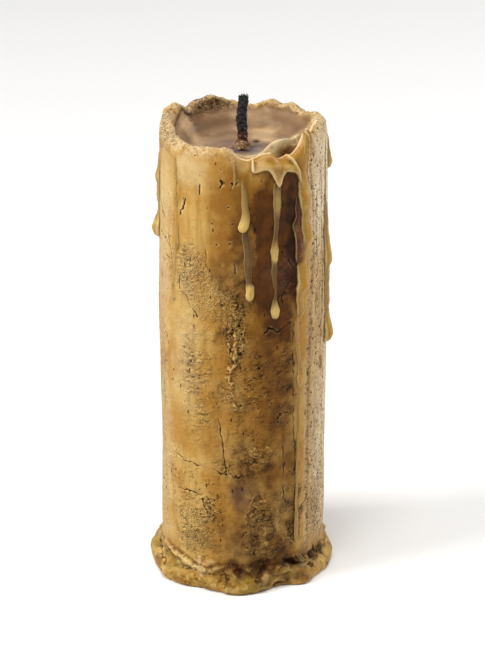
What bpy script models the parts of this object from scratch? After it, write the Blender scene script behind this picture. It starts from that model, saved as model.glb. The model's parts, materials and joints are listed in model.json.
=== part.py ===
"""A melted pillar candle: one wax body with its burn pool, torn rim, runs of wax and spread foot,
and the wick that goes through it.

Metres, +Z up. The origin is the middle of the foot's underside. An angle round the candle is in
degrees, 0 at the front (-Y) and growing towards +X. The tables below are in millimetres.
"""

import math

import bmesh
import bpy
from mathutils import Vector

MM = 0.001

# The cast pillar.
BODY_R = 30.0
RIM_Z = 168.0
RIM_INNER_R = 24.4
WALL_ROWS = 26
COLUMNS = 72
FRONT_CROWDING = 0.34

# How its wall swells and sinks: (angle, height, half-angle, half-height, rise).
WALL_FORMS = (
    (-4, 98, 5, 13, 0.55),
    (-7, 78, 6, 7, 0.35),
    (15, 24, 12, 12, 0.5),
    (12, 52, 9, 5.5, 0.45),
    (-22, 31, 7, 6, 0.4),
    (-39, 86, 10, 12, 0.35),
    (-37, 122, 13, 9, 0.3),
    (26, 92, 9, 16, -0.5),
    (20, 128, 8, 12, -0.35),
    (-14, 62, 9, 12, -0.35),
    (-48, 60, 10, 14, 0.3),
    (-60, 30, 10, 12, -0.3),
    (33, 60, 5, 20, -0.45),
    (-30, 146, 12, 10, 0.25),
    (4, 150, 8, 8, -0.3),
    (-10, 126, 8, 8, 0.25),
    (66, 60, 10, 20, -0.3),
    (74, 104, 9, 14, 0.35),
    (64, 138, 8, 14, -0.3),
    (78, 30, 10, 12, 0.35),
    (112, 130, 11, 13, 0.5),
    (100, 84, 12, 14, -0.4),
    (120, 56, 12, 14, 0.45),
    (140, 100, 12, 16, 0.4),
    (150, 40, 13, 13, -0.4),
    (165, 128, 12, 14, -0.35),
    (175, 78, 12, 14, 0.45),
    (-175, 26, 13, 12, 0.4),
    (-150, 60, 13, 15, 0.45),
    (-160, 140, 12, 12, 0.35),
    (-140, 104, 12, 14, -0.4),
    (-125, 32, 12, 13, 0.4),
    (-115, 76, 12, 15, 0.45),
    (-110, 134, 12, 14, -0.35),
    (-92, 100, 10, 14, 0.35),
    (-84, 50, 9, 14, -0.3),
    (-72, 150, 8, 8, 0.25),
)

# The dry panel right of the long run stands a step proud of the wall: its left edge as
# (height, angle), the angle where it fades out again, and its step.
PANEL_EDGE = ((12, 52), (70, 52.5), (93, 54), (108, 55), (127, 57), (147, 56.5), (160, 52.5), (172, 54))
PANEL_END = 98.0
PANEL_STEP = 0.45

# The rim's outer side, from the wall up: (drop from the crest, distance in from the wall).
SHOULDER = ((5.4, 0.05), (2.9, 0.35), (1.0, 1.1), (0.05, 2.5))

# Rises and dips of the rim: (angle, rise, half-angle).
RIM_LOBES = (
    (-110, 5.2, 15),
    (-120, 1.0, 6),
    (-138, 0.8, 6),
    (-90, 1.1, 8),
    (-153, 3.9, 15),
    (180, 0.6, 12),
    (157, 2.4, 7),
    (139, 2.6, 9),
    (109, 2.8, 9),
    (75, 4.8, 17),
    (64, 1.1, 7),
    (88, 0.7, 6),
    (-42, -0.4, 20),
)

# The lip that the pool spilt over: its own crest as (angle, height), and the angles over which the
# rim turns into it at each side.
LIP_CREST = (
    (-14, 168.4),
    (-8.6, 167.2),
    (-5.7, 166.2),
    (-1.4, 164.8),
    (2.9, 164.2),
    (6.4, 164.5),
    (10, 165.3),
    (14, 166.0),
    (19, 166.4),
    (21, 166.3),
    (23.5, 165.0),
    (26.7, 163.8),
    (30, 164.2),
    (34, 164.8),
    (38, 164.6),
    (42.5, 166.0),
    (45.5, 167.4),
    (48, 169.6),
    (51, 171.4),
    (56, 172.7),
)
LIP_START = (-17.0, -11.0)
LIP_END = (60.0, 54.0)

# The tongue of wax that stands inside the lip, with a groove between the two: its height as
# (angle, height), the angles over which it starts and ends, and its section in the order of the
# rim's, as (radius, height over the tongue).
TONGUE = (
    (14, 163.4),
    (17, 164.8),
    (24, 167.0),
    (29, 168.7),
    (35, 169.3),
    (42, 169.2),
    (50, 168.5),
    (57, 168.6),
    (66, 168.8),
    (74, 168.0),
)
TONGUE_START = (12.0, 24.0)
TONGUE_END = (72.0, 60.0)
TONGUE_SECTION = ((26.0, -1.2), (24.2, -1.7), (22.9, -0.1), (21.6, -0.7))
TONGUE_FOOT = (20.5, 2.3)

# The hollow that the flame has melted, and the wax that creeps up the wick. A ring of the pool is
# (share of the inner radius, share of the bowl's depth).
POOL_Z = 160.0
POOL_BOWL = 5.2
POOL_LIP = 1.8
POOL_RINGS = ((0.9, 0.8), (0.82, 0.45), (0.62, 0.19), (0.44, 0.07))
MOUND_R = 4.6
MOUND = 1.6

# The wax that has run down and set on the table. Its lobes are (angle, reach, half-angle), and its
# section, from the underside up, is (distance in from its reach, height).
FOOT_R = 34.0
FOOT_TOP_Z = 11.0
FOOT_LOBES = (
    (-93, 0.3, 12),
    (-47, 2.4, 15),
    (-4, 2.6, 13),
    (26, -2.0, 8),
    (41, 2.1, 8),
    (80, -0.2, 10),
    (104, -1.2, 10),
    (135, 1.4, 14),
    (180, 2.6, 15),
    (-140, 1.2, 14),
)
FOOT_SECTION = ((1.1, 0.0), (0.0, 1.5), (0.3, 3.1), (1.6, 4.0), (2.9, 4.7))
FOOT_NECK = (0.7, 7.0)
# Where the foot is thicker than elsewhere, as (angle, share, half-angle), and its lumps and hollows
# as (angle, height, half-angle, half-height, rise).
FOOT_LIFTS = ((-90, 0.6, 24), (86, 0.3, 22), (180, 0.3, 30))
FOOT_LUMPS = (
    (24, 4.2, 10, 1.5, 1.0),
    (25, 1.3, 6, 1.1, -1.1),
    (36, 8.0, 5, 2.2, -1.3),
    (46, 6.2, 4, 1.6, 0.8),
    (57, 7.2, 3, 1.8, -0.9),
    (66, 7.5, 5, 1.2, -0.8),
    (62, 4.5, 6, 1.4, 0.6),
    (-8, 4.4, 7, 1.4, -0.8),
    (-19, 5.2, 5, 1.6, 0.7),
    (4, 6.0, 5, 1.4, 0.6),
    (-70, 5.2, 7, 1.6, 0.7),
    (-79, 7.0, 5, 1.4, -0.6),
    (110, 5.0, 8, 1.5, 0.8),
    (152, 6.0, 6, 1.6, -1.0),
    (-120, 5.0, 9, 1.5, 0.9),
    (-162, 6.0, 7, 1.6, -0.9),
)

# The braided wick.
WICK_R = 1.85
WICK_GAP = 0.3
WICK_BOTTOM_Z = 0.4
WICK_TIP_Z = 178.6
WICK_SIDES = 18
WICK_STRANDS = 3
WICK_LAY = 7.0
WICK_RIDGE = 0.12
# The bend of its burnt end: (height, shift to +X, shift to -Y, share of the radius).
WICK_BEND = (
    (160.0, 0.0, 0.0, 1.0),
    (165.0, -0.05, 0.1, 1.0),
    (170.0, -0.3, 0.25, 1.03),
    (174.0, -0.2, 0.3, 0.92),
    (178.6, 0.4, 0.2, 0.86),
)
# Its frayed end, and a tuft's section as (share of its length, share of its radius).
FRAY_TUFTS = 5
FRAY_LENGTH = 1.7
FRAY_R = 0.55
FRAY_LEAN = 0.9
TUFT_SIDES = 6
TUFT_SECTION = ((-0.6, 1.0), (0.3, 0.9), (0.75, 0.6), (1.0, 0.25))

# The sheet of wax that has spilt over the lip: its lower edge as (angle, height).
SPILL_EDGE = (
    (5.8, 161.0),
    (8.4, 160.4),
    (12.3, 161.0),
    (15, 161.3),
    (17.7, 160.9),
    (19.7, 159.5),
    (21.8, 157.3),
    (24.6, 154.4),
    (27.5, 158.0),
    (30.5, 159.6),
    (33.5, 159.4),
    (37.4, 158.7),
    (39.4, 157.6),
    (41.4, 154.5),
    (44, 151.5),
    (47, 152.5),
    (49.4, 158),
)
SPILL_DEPTH = 1.0
SPILL_STEP = 2.2
# The sheet's section, from the crest down: (distance out, share of the depth, share of the drop).
SPILL_SECTION = (
    (-1.5, 0.0, 0.16),
    (-0.1, 0.0, 0.07),
    (0.0, 0.6, 0.2),
    (0.0, 0.65, 0.5),
    (0.0, 1.0, 0.8),
    (0.0, 0.8, 0.94),
    (-0.1, 0.0, 1.0),
    (-1.5, 0.0, 0.85),
)

# How far a run is sunk in the wall, how many points go round it, and how far past its last rows its
# round ends reach, with the share of its thickness there.
RUN_SUNK = 1.3
RUN_SIDES = 8
RUN_REACH = 0.4
RUN_END = 0.4

# Runs of wax on the wall, from the top down: (height, angle, half-width, depth).
RUNS = {
    "left_run": (
        (162.5, -53.8, 0.7, 0.4),
        (157, -53.1, 1.2, 0.8),
        (154.1, -53, 1.35, 0.9),
        (152.2, -53.2, 0.75, 0.5),
        (147.4, -52.6, 1.2, 1.0),
        (144.8, -52.8, 1.1, 1.1),
        (143.4, -52.6, 0.5, 0.4),
        (139.6, -52.6, 0.5, 0.35),
        (137, -51.8, 1.1, 0.9),
        (133.6, -52, 1.6, 1.5),
        (130.2, -52.2, 1.9, 2.0),
        (128, -52, 1.1, 1.1),
        (127, -53, 0.5, 0.4),
        (124.6, -52.8, 1.1, 0.8),
        (121, -54, 0.8, 0.6),
        (117.5, -55, 0.7, 0.6),
        (114.6, -55.8, 1.2, 1.1),
        (112, -55.8, 0.6, 0.5),
        (109.8, -54.9, 1.4, 1.1),
        (108.2, -54.8, 0.8, 0.7),
    ),
    "lip_run": (
        (165.5, -5.3, 0.4, 0.3),
        (159, -4.9, 0.55, 0.6),
        (157.6, -5.1, 0.4, 0.4),
        (154.6, -6.4, 0.45, 0.5),
    ),
    "front_run": (
        (158.4, -0.2, 0.4, 0.3),
        (156, 0.3, 0.6, 0.5),
        (153.6, 1.5, 1.25, 0.9),
        (150.8, 2.1, 1.6, 1.2),
        (147.6, 2.4, 1.75, 1.3),
        (145.2, 2.4, 1.65, 1.3),
        (143.2, 1.3, 1.8, 1.7),
        (141, 0.4, 2.0, 2.1),
        (139.4, 0.3, 1.5, 1.6),
        (138.4, 0.3, 0.9, 0.9),
    ),
    "front_run_low": (
        (140, 1.6, 0.8, 0.3),
        (137, 2.3, 1.25, 0.6),
        (132.4, 3.3, 1.4, 0.7),
        (126.6, 3.6, 1.4, 0.8),
        (121.4, 4.1, 1.15, 0.7),
        (119.4, 4.2, 0.9, 0.8),
        (117.8, 5, 1.5, 1.7),
        (115.2, 5, 1.65, 2.1),
        (113.4, 5, 1.3, 1.5),
        (112.4, 5, 0.8, 0.8),
    ),
    "middle_run": (
        (157, 24, 1.2, 0.5),
        (153.6, 23.2, 1.5, 1.0),
        (150, 23.4, 1.45, 1.2),
        (146.6, 23.8, 1.4, 1.2),
        (144, 23.8, 1.2, 0.8),
        (140.6, 23.3, 0.8, 0.5),
        (136, 23, 0.85, 0.5),
        (134.4, 22.8, 1.0, 0.9),
        (131.2, 22.3, 1.5, 1.5),
        (127.8, 22.1, 1.35, 1.7),
        (126, 22.2, 0.9, 0.9),
        (123.6, 22.5, 1.1, 0.5),
        (119, 22.7, 0.9, 0.45),
        (116, 23.3, 0.4, 0.3),
        (113, 23, 0.55, 0.4),
        (111.4, 22.8, 1.1, 1.1),
        (108.2, 23, 1.65, 1.9),
        (106, 22.9, 1.4, 1.7),
        (104.7, 22.9, 0.8, 0.8),
    ),
    "long_run": (
        (172, 51.6, 0.9, 0.7),
        (167, 48.6, 1.1, 0.8),
        (159, 44.8, 1.5, 1.0),
        (155, 44.4, 1.9, 1.3),
        (151.4, 45.4, 2.5, 1.7),
        (148.4, 46.4, 2.9, 2.2),
        (145.6, 46.8, 2.4, 1.9),
        (142, 47.1, 2.0, 1.6),
        (139, 47, 1.9, 1.7),
        (136, 48, 2.5, 2.2),
        (133.4, 48.4, 2.4, 2.6),
        (131.6, 47.8, 1.6, 1.7),
        (129, 47, 0.9, 0.8),
        (126, 46.6, 1.2, 0.9),
        (124.2, 44.2, 2.0, 1.2),
        (121.4, 44.5, 2.5, 1.7),
        (117.6, 45.2, 2.7, 2.2),
        (114.8, 45, 2.7, 2.4),
        (113, 43.4, 1.9, 1.5),
        (110.4, 42.5, 1.7, 1.2),
        (106.4, 43.5, 1.65, 1.4),
        (104, 43.4, 1.4, 1.2),
        (102.4, 41, 1.0, 0.6),
        (99, 40.4, 1.0, 0.6),
        (95, 41, 0.8, 0.5),
        (90.6, 42.4, 0.9, 0.7),
        (84, 43.8, 0.9, 0.8),
        (80.6, 43.5, 1.45, 1.8),
        (78.6, 43.3, 1.2, 1.4),
        (76.6, 43.2, 0.5, 0.5),
        (62, 42.7, 0.5, 0.5),
        (48, 41.5, 0.6, 0.5),
        (30, 40.4, 0.6, 0.5),
        (21, 40.2, 1.0, 0.9),
        (15, 40, 0.6, 0.5),
    ),
    "long_run_side": (
        (150, 40.5, 0.6, 0.3),
        (146.4, 39.8, 0.9, 0.7),
        (142, 40.2, 1.1, 1.0),
        (139, 38.6, 1.9, 1.2),
        (136.6, 40.6, 1.7, 1.5),
        (131, 41.2, 1.7, 1.5),
        (127, 41.5, 1.6, 1.6),
        (124.4, 41.6, 1.1, 1.0),
    ),
    "right_run": (
        (166, 75, 0.6, 0.3),
        (146, 74, 0.7, 0.4),
        (140, 74.6, 1.6, 0.8),
        (134, 75, 2.3, 1.1),
        (127, 75.4, 2.6, 1.6),
        (122, 76, 2.9, 2.4),
        (119.6, 76, 2.7, 2.3),
        (117.6, 75.6, 2.4, 1.4),
        (110, 75.4, 2.4, 1.2),
        (104.6, 75.2, 2.3, 1.4),
        (102, 75.2, 2.2, 1.1),
        (98, 75.6, 2.5, 1.6),
        (94.4, 76.4, 2.9, 2.5),
        (91.6, 76.4, 3.0, 3.1),
        (89.4, 76.6, 2.5, 2.3),
        (88, 77, 1.6, 1.2),
    ),
    "right_drop": (
        (166, 87, 0.8, 0.4),
        (160, 87, 1.0, 0.9),
        (155.6, 87, 1.6, 1.8),
        (153, 87, 1.0, 1.0),
    ),
    "right_bead": (
        (86, 68, 0.5, 0.3),
        (81.4, 67, 0.9, 0.9),
        (79.6, 67, 0.6, 0.6),
    ),
    "left_edge_run": (
        (160, -84, 0.8, 0.4),
        (154, -84, 1.2, 0.9),
        (150.4, -84, 1.6, 1.9),
        (147.6, -84, 1.2, 1.1),
        (143, -84, 1.2, 1.2),
        (138, -84.4, 1.1, 0.7),
        (134.4, -84.6, 1.8, 1.9),
        (131, -84.8, 2.3, 3.0),
        (128.6, -85, 2.0, 2.4),
        (127.2, -85, 1.2, 1.2),
    ),
    "back_left_run": (
        (168, -124, 0.8, 0.4),
        (152, -125, 1.1, 0.8),
        (144, -124.6, 1.7, 1.6),
        (140.6, -125, 1.1, 0.8),
        (131, -126, 0.8, 0.6),
        (124, -126.6, 1.5, 1.5),
        (120, -127, 1.9, 2.2),
        (117.4, -127, 1.2, 1.2),
    ),
    "back_run": (
        (168, -163, 1.2, 0.5),
        (157, -161, 1.6, 1.2),
        (150, -160, 2.1, 1.9),
        (145.6, -160.4, 1.4, 1.0),
        (131, -162, 1.0, 0.7),
        (117, -160, 1.4, 1.2),
        (111, -159.6, 1.8, 1.8),
        (108, -159.2, 1.1, 0.8),
        (88, -158.6, 0.7, 0.5),
        (77, -159, 1.4, 1.3),
        (73, -159, 1.8, 2.0),
        (70.4, -159, 1.1, 1.1),
    ),
    "back_right_run": (
        (168, 141, 1.0, 0.4),
        (151, 138.4, 1.1, 0.8),
        (137, 139, 1.8, 1.7),
        (132, 139.6, 1.3, 1.0),
        (116, 139, 0.8, 0.6),
        (104, 138, 1.4, 1.4),
        (99.6, 138, 1.9, 2.1),
        (96.4, 138, 1.2, 1.2),
    ),
    "back_drop": (
        (168, 168, 0.9, 0.4),
        (152, 168, 0.8, 0.6),
        (143, 168, 1.8, 1.9),
        (139.6, 168, 1.1, 1.1),
    ),
}

MATERIALS = {
    "wax": {"colour": (0.48, 0.28, 0.09, 1.0), "roughness": 0.42},
    "char": {"colour": (0.012, 0.012, 0.013, 1.0), "roughness": 0.9},
}


def clear_scene():
    """Remove what the scene starts with."""
    for obj in list(bpy.data.objects):
        bpy.data.objects.remove(obj)


def material(name):
    """A Principled BSDF in the colour that the table gives."""
    made = bpy.data.materials.new(name)
    made.use_nodes = True
    shader = made.node_tree.nodes["Principled BSDF"]
    shader.inputs["Base Color"].default_value = MATERIALS[name]["colour"]
    shader.inputs["Roughness"].default_value = MATERIALS[name]["roughness"]
    shader.inputs["Metallic"].default_value = 0.0
    return made


def at(angle, radius, height):
    """The point at an angle round the candle, in metres."""
    turn = math.radians(angle)
    return Vector((radius * math.sin(turn), -radius * math.cos(turn), height)) * MM


def eased(limits, value):
    """The share of the way between two limits, eased at both ends and held beyond them."""
    low, high = limits
    share = min(1.0, max(0.0, (value - low) / (high - low)))
    return share * share * (3.0 - 2.0 * share)


def between(start, end, share):
    """The value a share of the way from start to end."""
    return start + (end - start) * share


def read_off(table, position):
    """A value from a table of (position, value), sorted by position, straight between entries and
    held beyond them."""
    for (low, start), (high, end) in zip(table, table[1:]):
        if position <= high:
            return between(start, end, max(0.0, (position - low) / (high - low)))
    return table[-1][1]


def turned(angle, centre):
    """The turn from a centre to an angle, from -180 to 180."""
    return (angle - centre + 180) % 360 - 180


def lobes(table, angle):
    """The sum of the rounded lobes of a table of (angle, height, half-angle)."""
    return sum(rise * math.exp(-((turned(angle, centre) / half) ** 2)) for centre, rise, half in table)


def forms(table, angle, height):
    """The sum of the swellings of a table of (angle, height, half-angle, half-height, rise)."""
    total = 0.0
    for centre, level, half_angle, half_height, rise in table:
        across = turned(angle, centre) / half_angle
        along = (height - level) / half_height
        total += rise * math.exp(-((across**2 + along**2) ** 1.5))
    return total


def crest_at(angle):
    """The rim's height: its lobes, and the lip's own line at the front."""
    lip = eased(LIP_START, angle) * eased(LIP_END, angle)
    return between(RIM_Z + lobes(RIM_LOBES, angle), read_off(LIP_CREST, angle), lip)


def wall_radius(angle, height):
    """The pillar's radius, which is never quite round or straight: two slow waves, the swellings of
    the wall, the panel's step, and the rounding of the shoulder below the rim."""
    turn = math.radians(angle)
    swell = 0.25 * math.sin(2 * turn + height / 23) + 0.2 * math.sin(3 * turn - height / 37)
    edge = read_off(PANEL_EDGE, height)
    panel = eased((edge - 1.0, edge + 1.0), angle) * eased((PANEL_END, PANEL_END - 8.0), angle)
    panel *= PANEL_STEP * eased((6.0, 20.0), height)
    inset = read_off([(drop, inset) for drop, inset in reversed(SHOULDER)], crest_at(angle) - height)
    return BODY_R + swell + forms(WALL_FORMS, angle, height) + panel - inset


def foot_section(angle):
    """The foot's section at an angle, as (radius, height) from the underside up to the wall."""
    reach = FOOT_R + lobes(FOOT_LOBES, angle)
    lift = lobes(FOOT_LIFTS, angle)
    section = [(reach - inset, height) for inset, height in FOOT_SECTION]
    section.append((BODY_R + FOOT_NECK[0], FOOT_NECK[1]))
    lifted = []
    for radius, height in section:
        level = height * (1.0 + lift * (1.0 - (height / FOOT_TOP_Z) ** 2))
        lump = forms(FOOT_LUMPS, angle, height) if height > 0.0 else 0.0
        lifted.append((max(radius + 0.7 * lump, BODY_R + 0.4), level))
    return lifted


def rim_section(angle):
    """The inside of the rim at an angle, as (radius, height): a plain bank down to the pool, or the
    groove and the tongue that stand inside the lip."""
    crest = crest_at(angle)
    tongue = read_off(TONGUE, angle)
    curl = eased(TONGUE_START, angle) * eased(TONGUE_END, angle)
    bank = min(POOL_Z + POOL_BOWL, crest - POOL_LIP)
    bowl = bank - POOL_Z
    plain = [
        (25.7, crest - 0.25),
        (RIM_INNER_R + 0.8, crest - 1.1),
        (RIM_INNER_R, between(crest - 1.1, bank, 0.6)),
        (RIM_INNER_R - 0.9, bank + 0.2),
    ]
    curled = [(radius, tongue + rise) for radius, rise in TONGUE_SECTION]
    curled[0] = (curled[0][0], min(crest, tongue) + TONGUE_SECTION[0][1])
    rings = [(RIM_INNER_R * share, POOL_Z + bowl * depth) for share, depth in POOL_RINGS]
    plain.append(rings.pop(0))
    curled.append((TONGUE_FOOT[0], POOL_Z + TONGUE_FOOT[1]))
    section = []
    for (plain_radius, plain_height), (radius, height) in zip(plain, curled):
        section.append((between(plain_radius, radius, curl), between(plain_height, height, curl)))
    return section + rings


def profile(angle):
    """The wax body's section at an angle, as (radius, height) from the bore's foot outwards,
    up the wall, over the rim, across the pool and to the bore's mouth."""
    bore_r = WICK_R * (1 + WICK_RIDGE) + WICK_GAP
    crest = crest_at(angle)
    section = [(bore_r, 0.0), (RIM_INNER_R, 0.0)]
    section += foot_section(angle)
    wall_top = crest - SHOULDER[0][0] - 1.0
    levels = [between(FOOT_TOP_Z, wall_top, row / (WALL_ROWS - 1)) for row in range(WALL_ROWS)]
    levels += [crest - drop for drop, _ in SHOULDER]
    section += [(wall_radius(angle, height), height) for height in levels]
    section += rim_section(angle)
    section.append((MOUND_R, POOL_Z))
    section.append((bore_r, POOL_Z + MOUND))
    return section


def column_angles():
    """The angles of the body's columns, closer together at the front, where the detail is."""
    angles = []
    for column in range(COLUMNS):
        turn = 2 * math.pi * column / COLUMNS - math.pi
        angles.append(math.degrees(turn - FRONT_CROWDING * math.sin(turn)))
    return angles


def skin(name, rings, looped=False):
    """A closed mesh object over rings of points that have the same number of points. Looped
    joins the last ring to the first; otherwise each end is closed with a flat face."""
    mesh = bmesh.new()
    rows = [[mesh.verts.new(point) for point in ring] for ring in rings]
    pairs = list(zip(rows, rows[1:]))
    if looped:
        pairs.append((rows[-1], rows[0]))
    for lower, upper in pairs:
        for index in range(len(lower)):
            follower = (index + 1) % len(lower)
            mesh.faces.new((lower[index], lower[follower], upper[follower], upper[index]))
    if not looped:
        mesh.faces.new(rows[0][::-1])
        mesh.faces.new(rows[-1])
    bmesh.ops.recalc_face_normals(mesh, faces=mesh.faces)
    data = bpy.data.meshes.new(name)
    mesh.to_mesh(data)
    mesh.free()
    data.shade_smooth()
    made = bpy.data.objects.new(name, data)
    bpy.context.collection.objects.link(made)
    return made


def pillar():
    """The wax body without its runs: the section turned round the candle."""
    sections = [(angle, profile(angle)) for angle in column_angles()]
    stations = range(len(sections[0][1]))
    rings = [[at(angle, *section[station]) for angle, section in sections] for station in stations]
    return skin("wax_body", rings, looped=True)


def run_of_wax(name):
    """One run as a closed tube, half sunk in the wall, with small round ends."""
    rows = list(RUNS[name])
    for index, rise in ((0, RUN_REACH), (-1, -RUN_REACH)):
        height, angle, half_width, depth = rows[index]
        end = (height + rise, angle, RUN_END * half_width, RUN_END * depth)
        rows.insert(0 if index == 0 else len(rows), end)
    rings = []
    for height, centre, half_width, depth in rows:
        ring = []
        for side in range(RUN_SIDES):
            turn = 2 * math.pi * side / RUN_SIDES
            across = math.degrees(half_width * math.cos(turn) / BODY_R)
            out = math.sin(turn) * (depth if math.sin(turn) > 0 else RUN_SUNK)
            ring.append(at(centre + across, wall_radius(centre, height) + out, height))
        rings.append(ring)
    return skin(name, rings)


def spill():
    """The sheet of wax over the lip, thickest along its scalloped lower edge."""
    rings = []
    first, last = SPILL_EDGE[0][0], SPILL_EDGE[-1][0]
    steps = round((last - first) / SPILL_STEP)
    for step in range(steps + 1):
        angle = between(first, last, step / steps)
        low, high = read_off(SPILL_EDGE, angle), crest_at(angle)
        depth = SPILL_DEPTH * (RUN_END if step in (0, steps) else 1.0)
        ring = []
        for out, depth_share, drop_share in SPILL_SECTION:
            height = between(high, low, drop_share)
            ring.append(at(angle, wall_radius(angle, height) + out + depth * depth_share, height))
        rings.append(ring)
    return skin("spill", rings)


def fuse(body, name, pieces):
    """Join the pieces to the body with one union, and keep them as hidden helpers."""
    helpers = bpy.data.collections.new(name)
    bpy.context.scene.collection.children.link(helpers)
    for piece in pieces:
        bpy.context.collection.objects.unlink(piece)
        helpers.objects.link(piece)
        piece.hide_render = True
        piece.display_type = "WIRE"
    union = body.modifiers.new(name, "BOOLEAN")
    union.operation = "UNION"
    union.operand_type = "COLLECTION"
    union.collection = helpers


def wick_ring(height):
    """The wick's section at a height: three strands, turned round each other as it climbs."""
    shift_x = read_off([(row[0], row[1]) for row in WICK_BEND], height)
    shift_front = read_off([(row[0], row[2]) for row in WICK_BEND], height)
    share = read_off([(row[0], row[3]) for row in WICK_BEND], height)
    ring = []
    for side in range(WICK_SIDES):
        turn = 2 * math.pi * side / WICK_SIDES
        strands = math.cos(WICK_STRANDS * (turn - 2 * math.pi * height / WICK_LAY / WICK_STRANDS))
        radius = WICK_R * share * (1 + WICK_RIDGE * strands)
        offset = Vector((shift_x, -shift_front, 0.0)) * MM
        ring.append(at(math.degrees(turn), radius, height) + offset)
    return ring


def wick_body():
    """The wick from the underside of the candle to its burnt end."""
    heights = [WICK_BOTTOM_Z, POOL_Z - 1.0]
    exposed_rows = 14
    for row in range(exposed_rows + 1):
        heights.append(POOL_Z + (WICK_TIP_Z - POOL_Z) * row / exposed_rows)
    return skin("wick", [wick_ring(height) for height in heights])


def tuft(index):
    """One frayed end of thread on the wick's tip: a thin cone that leans outwards."""
    turn = 2 * math.pi * (index + 0.3) / FRAY_TUFTS
    shorter = 1.0 - 0.3 * (index % 2)
    _, shift_x, shift_front, _ = WICK_BEND[-1]
    rings = []
    for share, girth in TUFT_SECTION:
        out = FRAY_LEAN * (1 + 0.35 * max(0.0, share))
        middle = Vector((shift_x + out * math.cos(turn), out * math.sin(turn) - shift_front, 0.0))
        height = WICK_TIP_Z + FRAY_LENGTH * shorter * share
        angles = [360 * side / TUFT_SIDES for side in range(TUFT_SIDES)]
        rings.append([middle * MM + at(angle, FRAY_R * girth, height) for angle in angles])
    return skin(f"tuft_{index}", rings)


def main():
    """Build the candle."""
    clear_scene()
    body = pillar()
    body.data.materials.append(material("wax"))
    fuse(body, "spilt_wax", [spill()])
    fuse(body, "runs", [run_of_wax(name) for name in RUNS])
    wick = wick_body()
    wick.data.materials.append(material("char"))
    fuse(wick, "frayed_end", [tuft(index) for index in range(FRAY_TUFTS)])


main()
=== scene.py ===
"""Dresses a melted pillar candle: aged wax with its burn pool, spilt lip, cracks and foot, the runs
of wax down its wall, and a burnt braided wick.

The shapes are worked out in millimetres and put into the meshes in metres. An angle round the candle
is in degrees, 0 at the front (-Y) and growing towards +X.
"""

import json
import logging
import math
from dataclasses import dataclass
from enum import Enum, IntEnum
from functools import partial
from typing import NamedTuple

import bpy
import numpy as np
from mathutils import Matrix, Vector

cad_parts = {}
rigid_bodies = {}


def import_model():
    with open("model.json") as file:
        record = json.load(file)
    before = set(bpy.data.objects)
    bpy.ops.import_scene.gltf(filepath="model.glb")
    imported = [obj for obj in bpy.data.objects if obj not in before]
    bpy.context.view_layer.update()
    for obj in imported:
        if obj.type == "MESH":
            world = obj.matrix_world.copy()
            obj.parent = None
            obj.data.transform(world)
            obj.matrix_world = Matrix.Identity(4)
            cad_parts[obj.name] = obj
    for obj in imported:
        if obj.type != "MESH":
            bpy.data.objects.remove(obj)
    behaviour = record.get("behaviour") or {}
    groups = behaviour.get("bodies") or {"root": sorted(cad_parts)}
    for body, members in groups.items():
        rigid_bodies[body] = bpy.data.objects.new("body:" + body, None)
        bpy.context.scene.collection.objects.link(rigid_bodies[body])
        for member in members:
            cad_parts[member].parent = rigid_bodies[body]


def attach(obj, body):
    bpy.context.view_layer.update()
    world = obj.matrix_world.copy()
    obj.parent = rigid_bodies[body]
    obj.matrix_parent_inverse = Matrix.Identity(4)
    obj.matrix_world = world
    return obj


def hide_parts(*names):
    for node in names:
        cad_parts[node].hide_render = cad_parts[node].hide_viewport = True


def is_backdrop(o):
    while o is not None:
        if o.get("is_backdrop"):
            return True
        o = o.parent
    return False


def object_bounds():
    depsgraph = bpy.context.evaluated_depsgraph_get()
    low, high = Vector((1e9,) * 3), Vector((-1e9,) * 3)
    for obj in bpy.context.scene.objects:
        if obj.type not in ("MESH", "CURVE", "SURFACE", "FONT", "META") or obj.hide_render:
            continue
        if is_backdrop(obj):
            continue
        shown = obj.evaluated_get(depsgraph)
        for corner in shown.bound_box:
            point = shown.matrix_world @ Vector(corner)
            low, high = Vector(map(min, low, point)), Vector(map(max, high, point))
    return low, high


MM = 0.001
BODY = "root"

log = logging.getLogger("candle")


class Fineness(NamedTuple):
    """Columns round the pillar, its row spacing in mm, the triangles kept of it, and the row spacing
    of the runs in mm."""

    columns: int
    row_spacing: float
    triangles: int
    run_spacing: float


class Detail(Enum):
    """How finely the wax is worked out."""

    QUICK = Fineness(400, 0.44, 130_000, 0.45)
    FULL = Fineness(640, 0.27, 197_000, 0.25)


# The stations of the pillar's section, from the bore's foot out, up the wall, over the rim and in to
# the wick.
Stop = IntEnum(
    "Stop",
    "BORE_FOOT SOLE_IN SOLE_OUT SOLE_EDGE BEAD_LOW BEAD BEAD_TOP STEP DIP FOLD CREASE WALL_FOOT WALL_LOW "
    "WALL_TOP SHOULDER ROUND CREST_OUT CREST CREST_IN INNER_TOP INNER_WALL POOL_EDGE POOL_RISE POOL_HIGH "
    "POOL_MID POOL_LOW POOL_FLOOR COLLAR_FOOT COLLAR COLLAR_TOP BORE_TOP BORE_LOW",
    start=0,
)


# ---------------------------------------------------------------- numbers and noise


def held(value: np.ndarray) -> np.ndarray:
    """The value, held to 0 and 1."""
    return np.clip(value, 0.0, 1.0)


def bell(value: np.ndarray) -> np.ndarray:
    """1 where the value is 0, falling off on both sides as exp(-value^2)."""
    return np.exp(-(value**2))


def spot(across: np.ndarray, along: np.ndarray, power: float = 1.0) -> np.ndarray:
    """1 in the middle of a spot, falling off as exp(-(across^2 + along^2)^power)."""
    return np.exp(-((across**2 + along**2) ** power))


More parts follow.
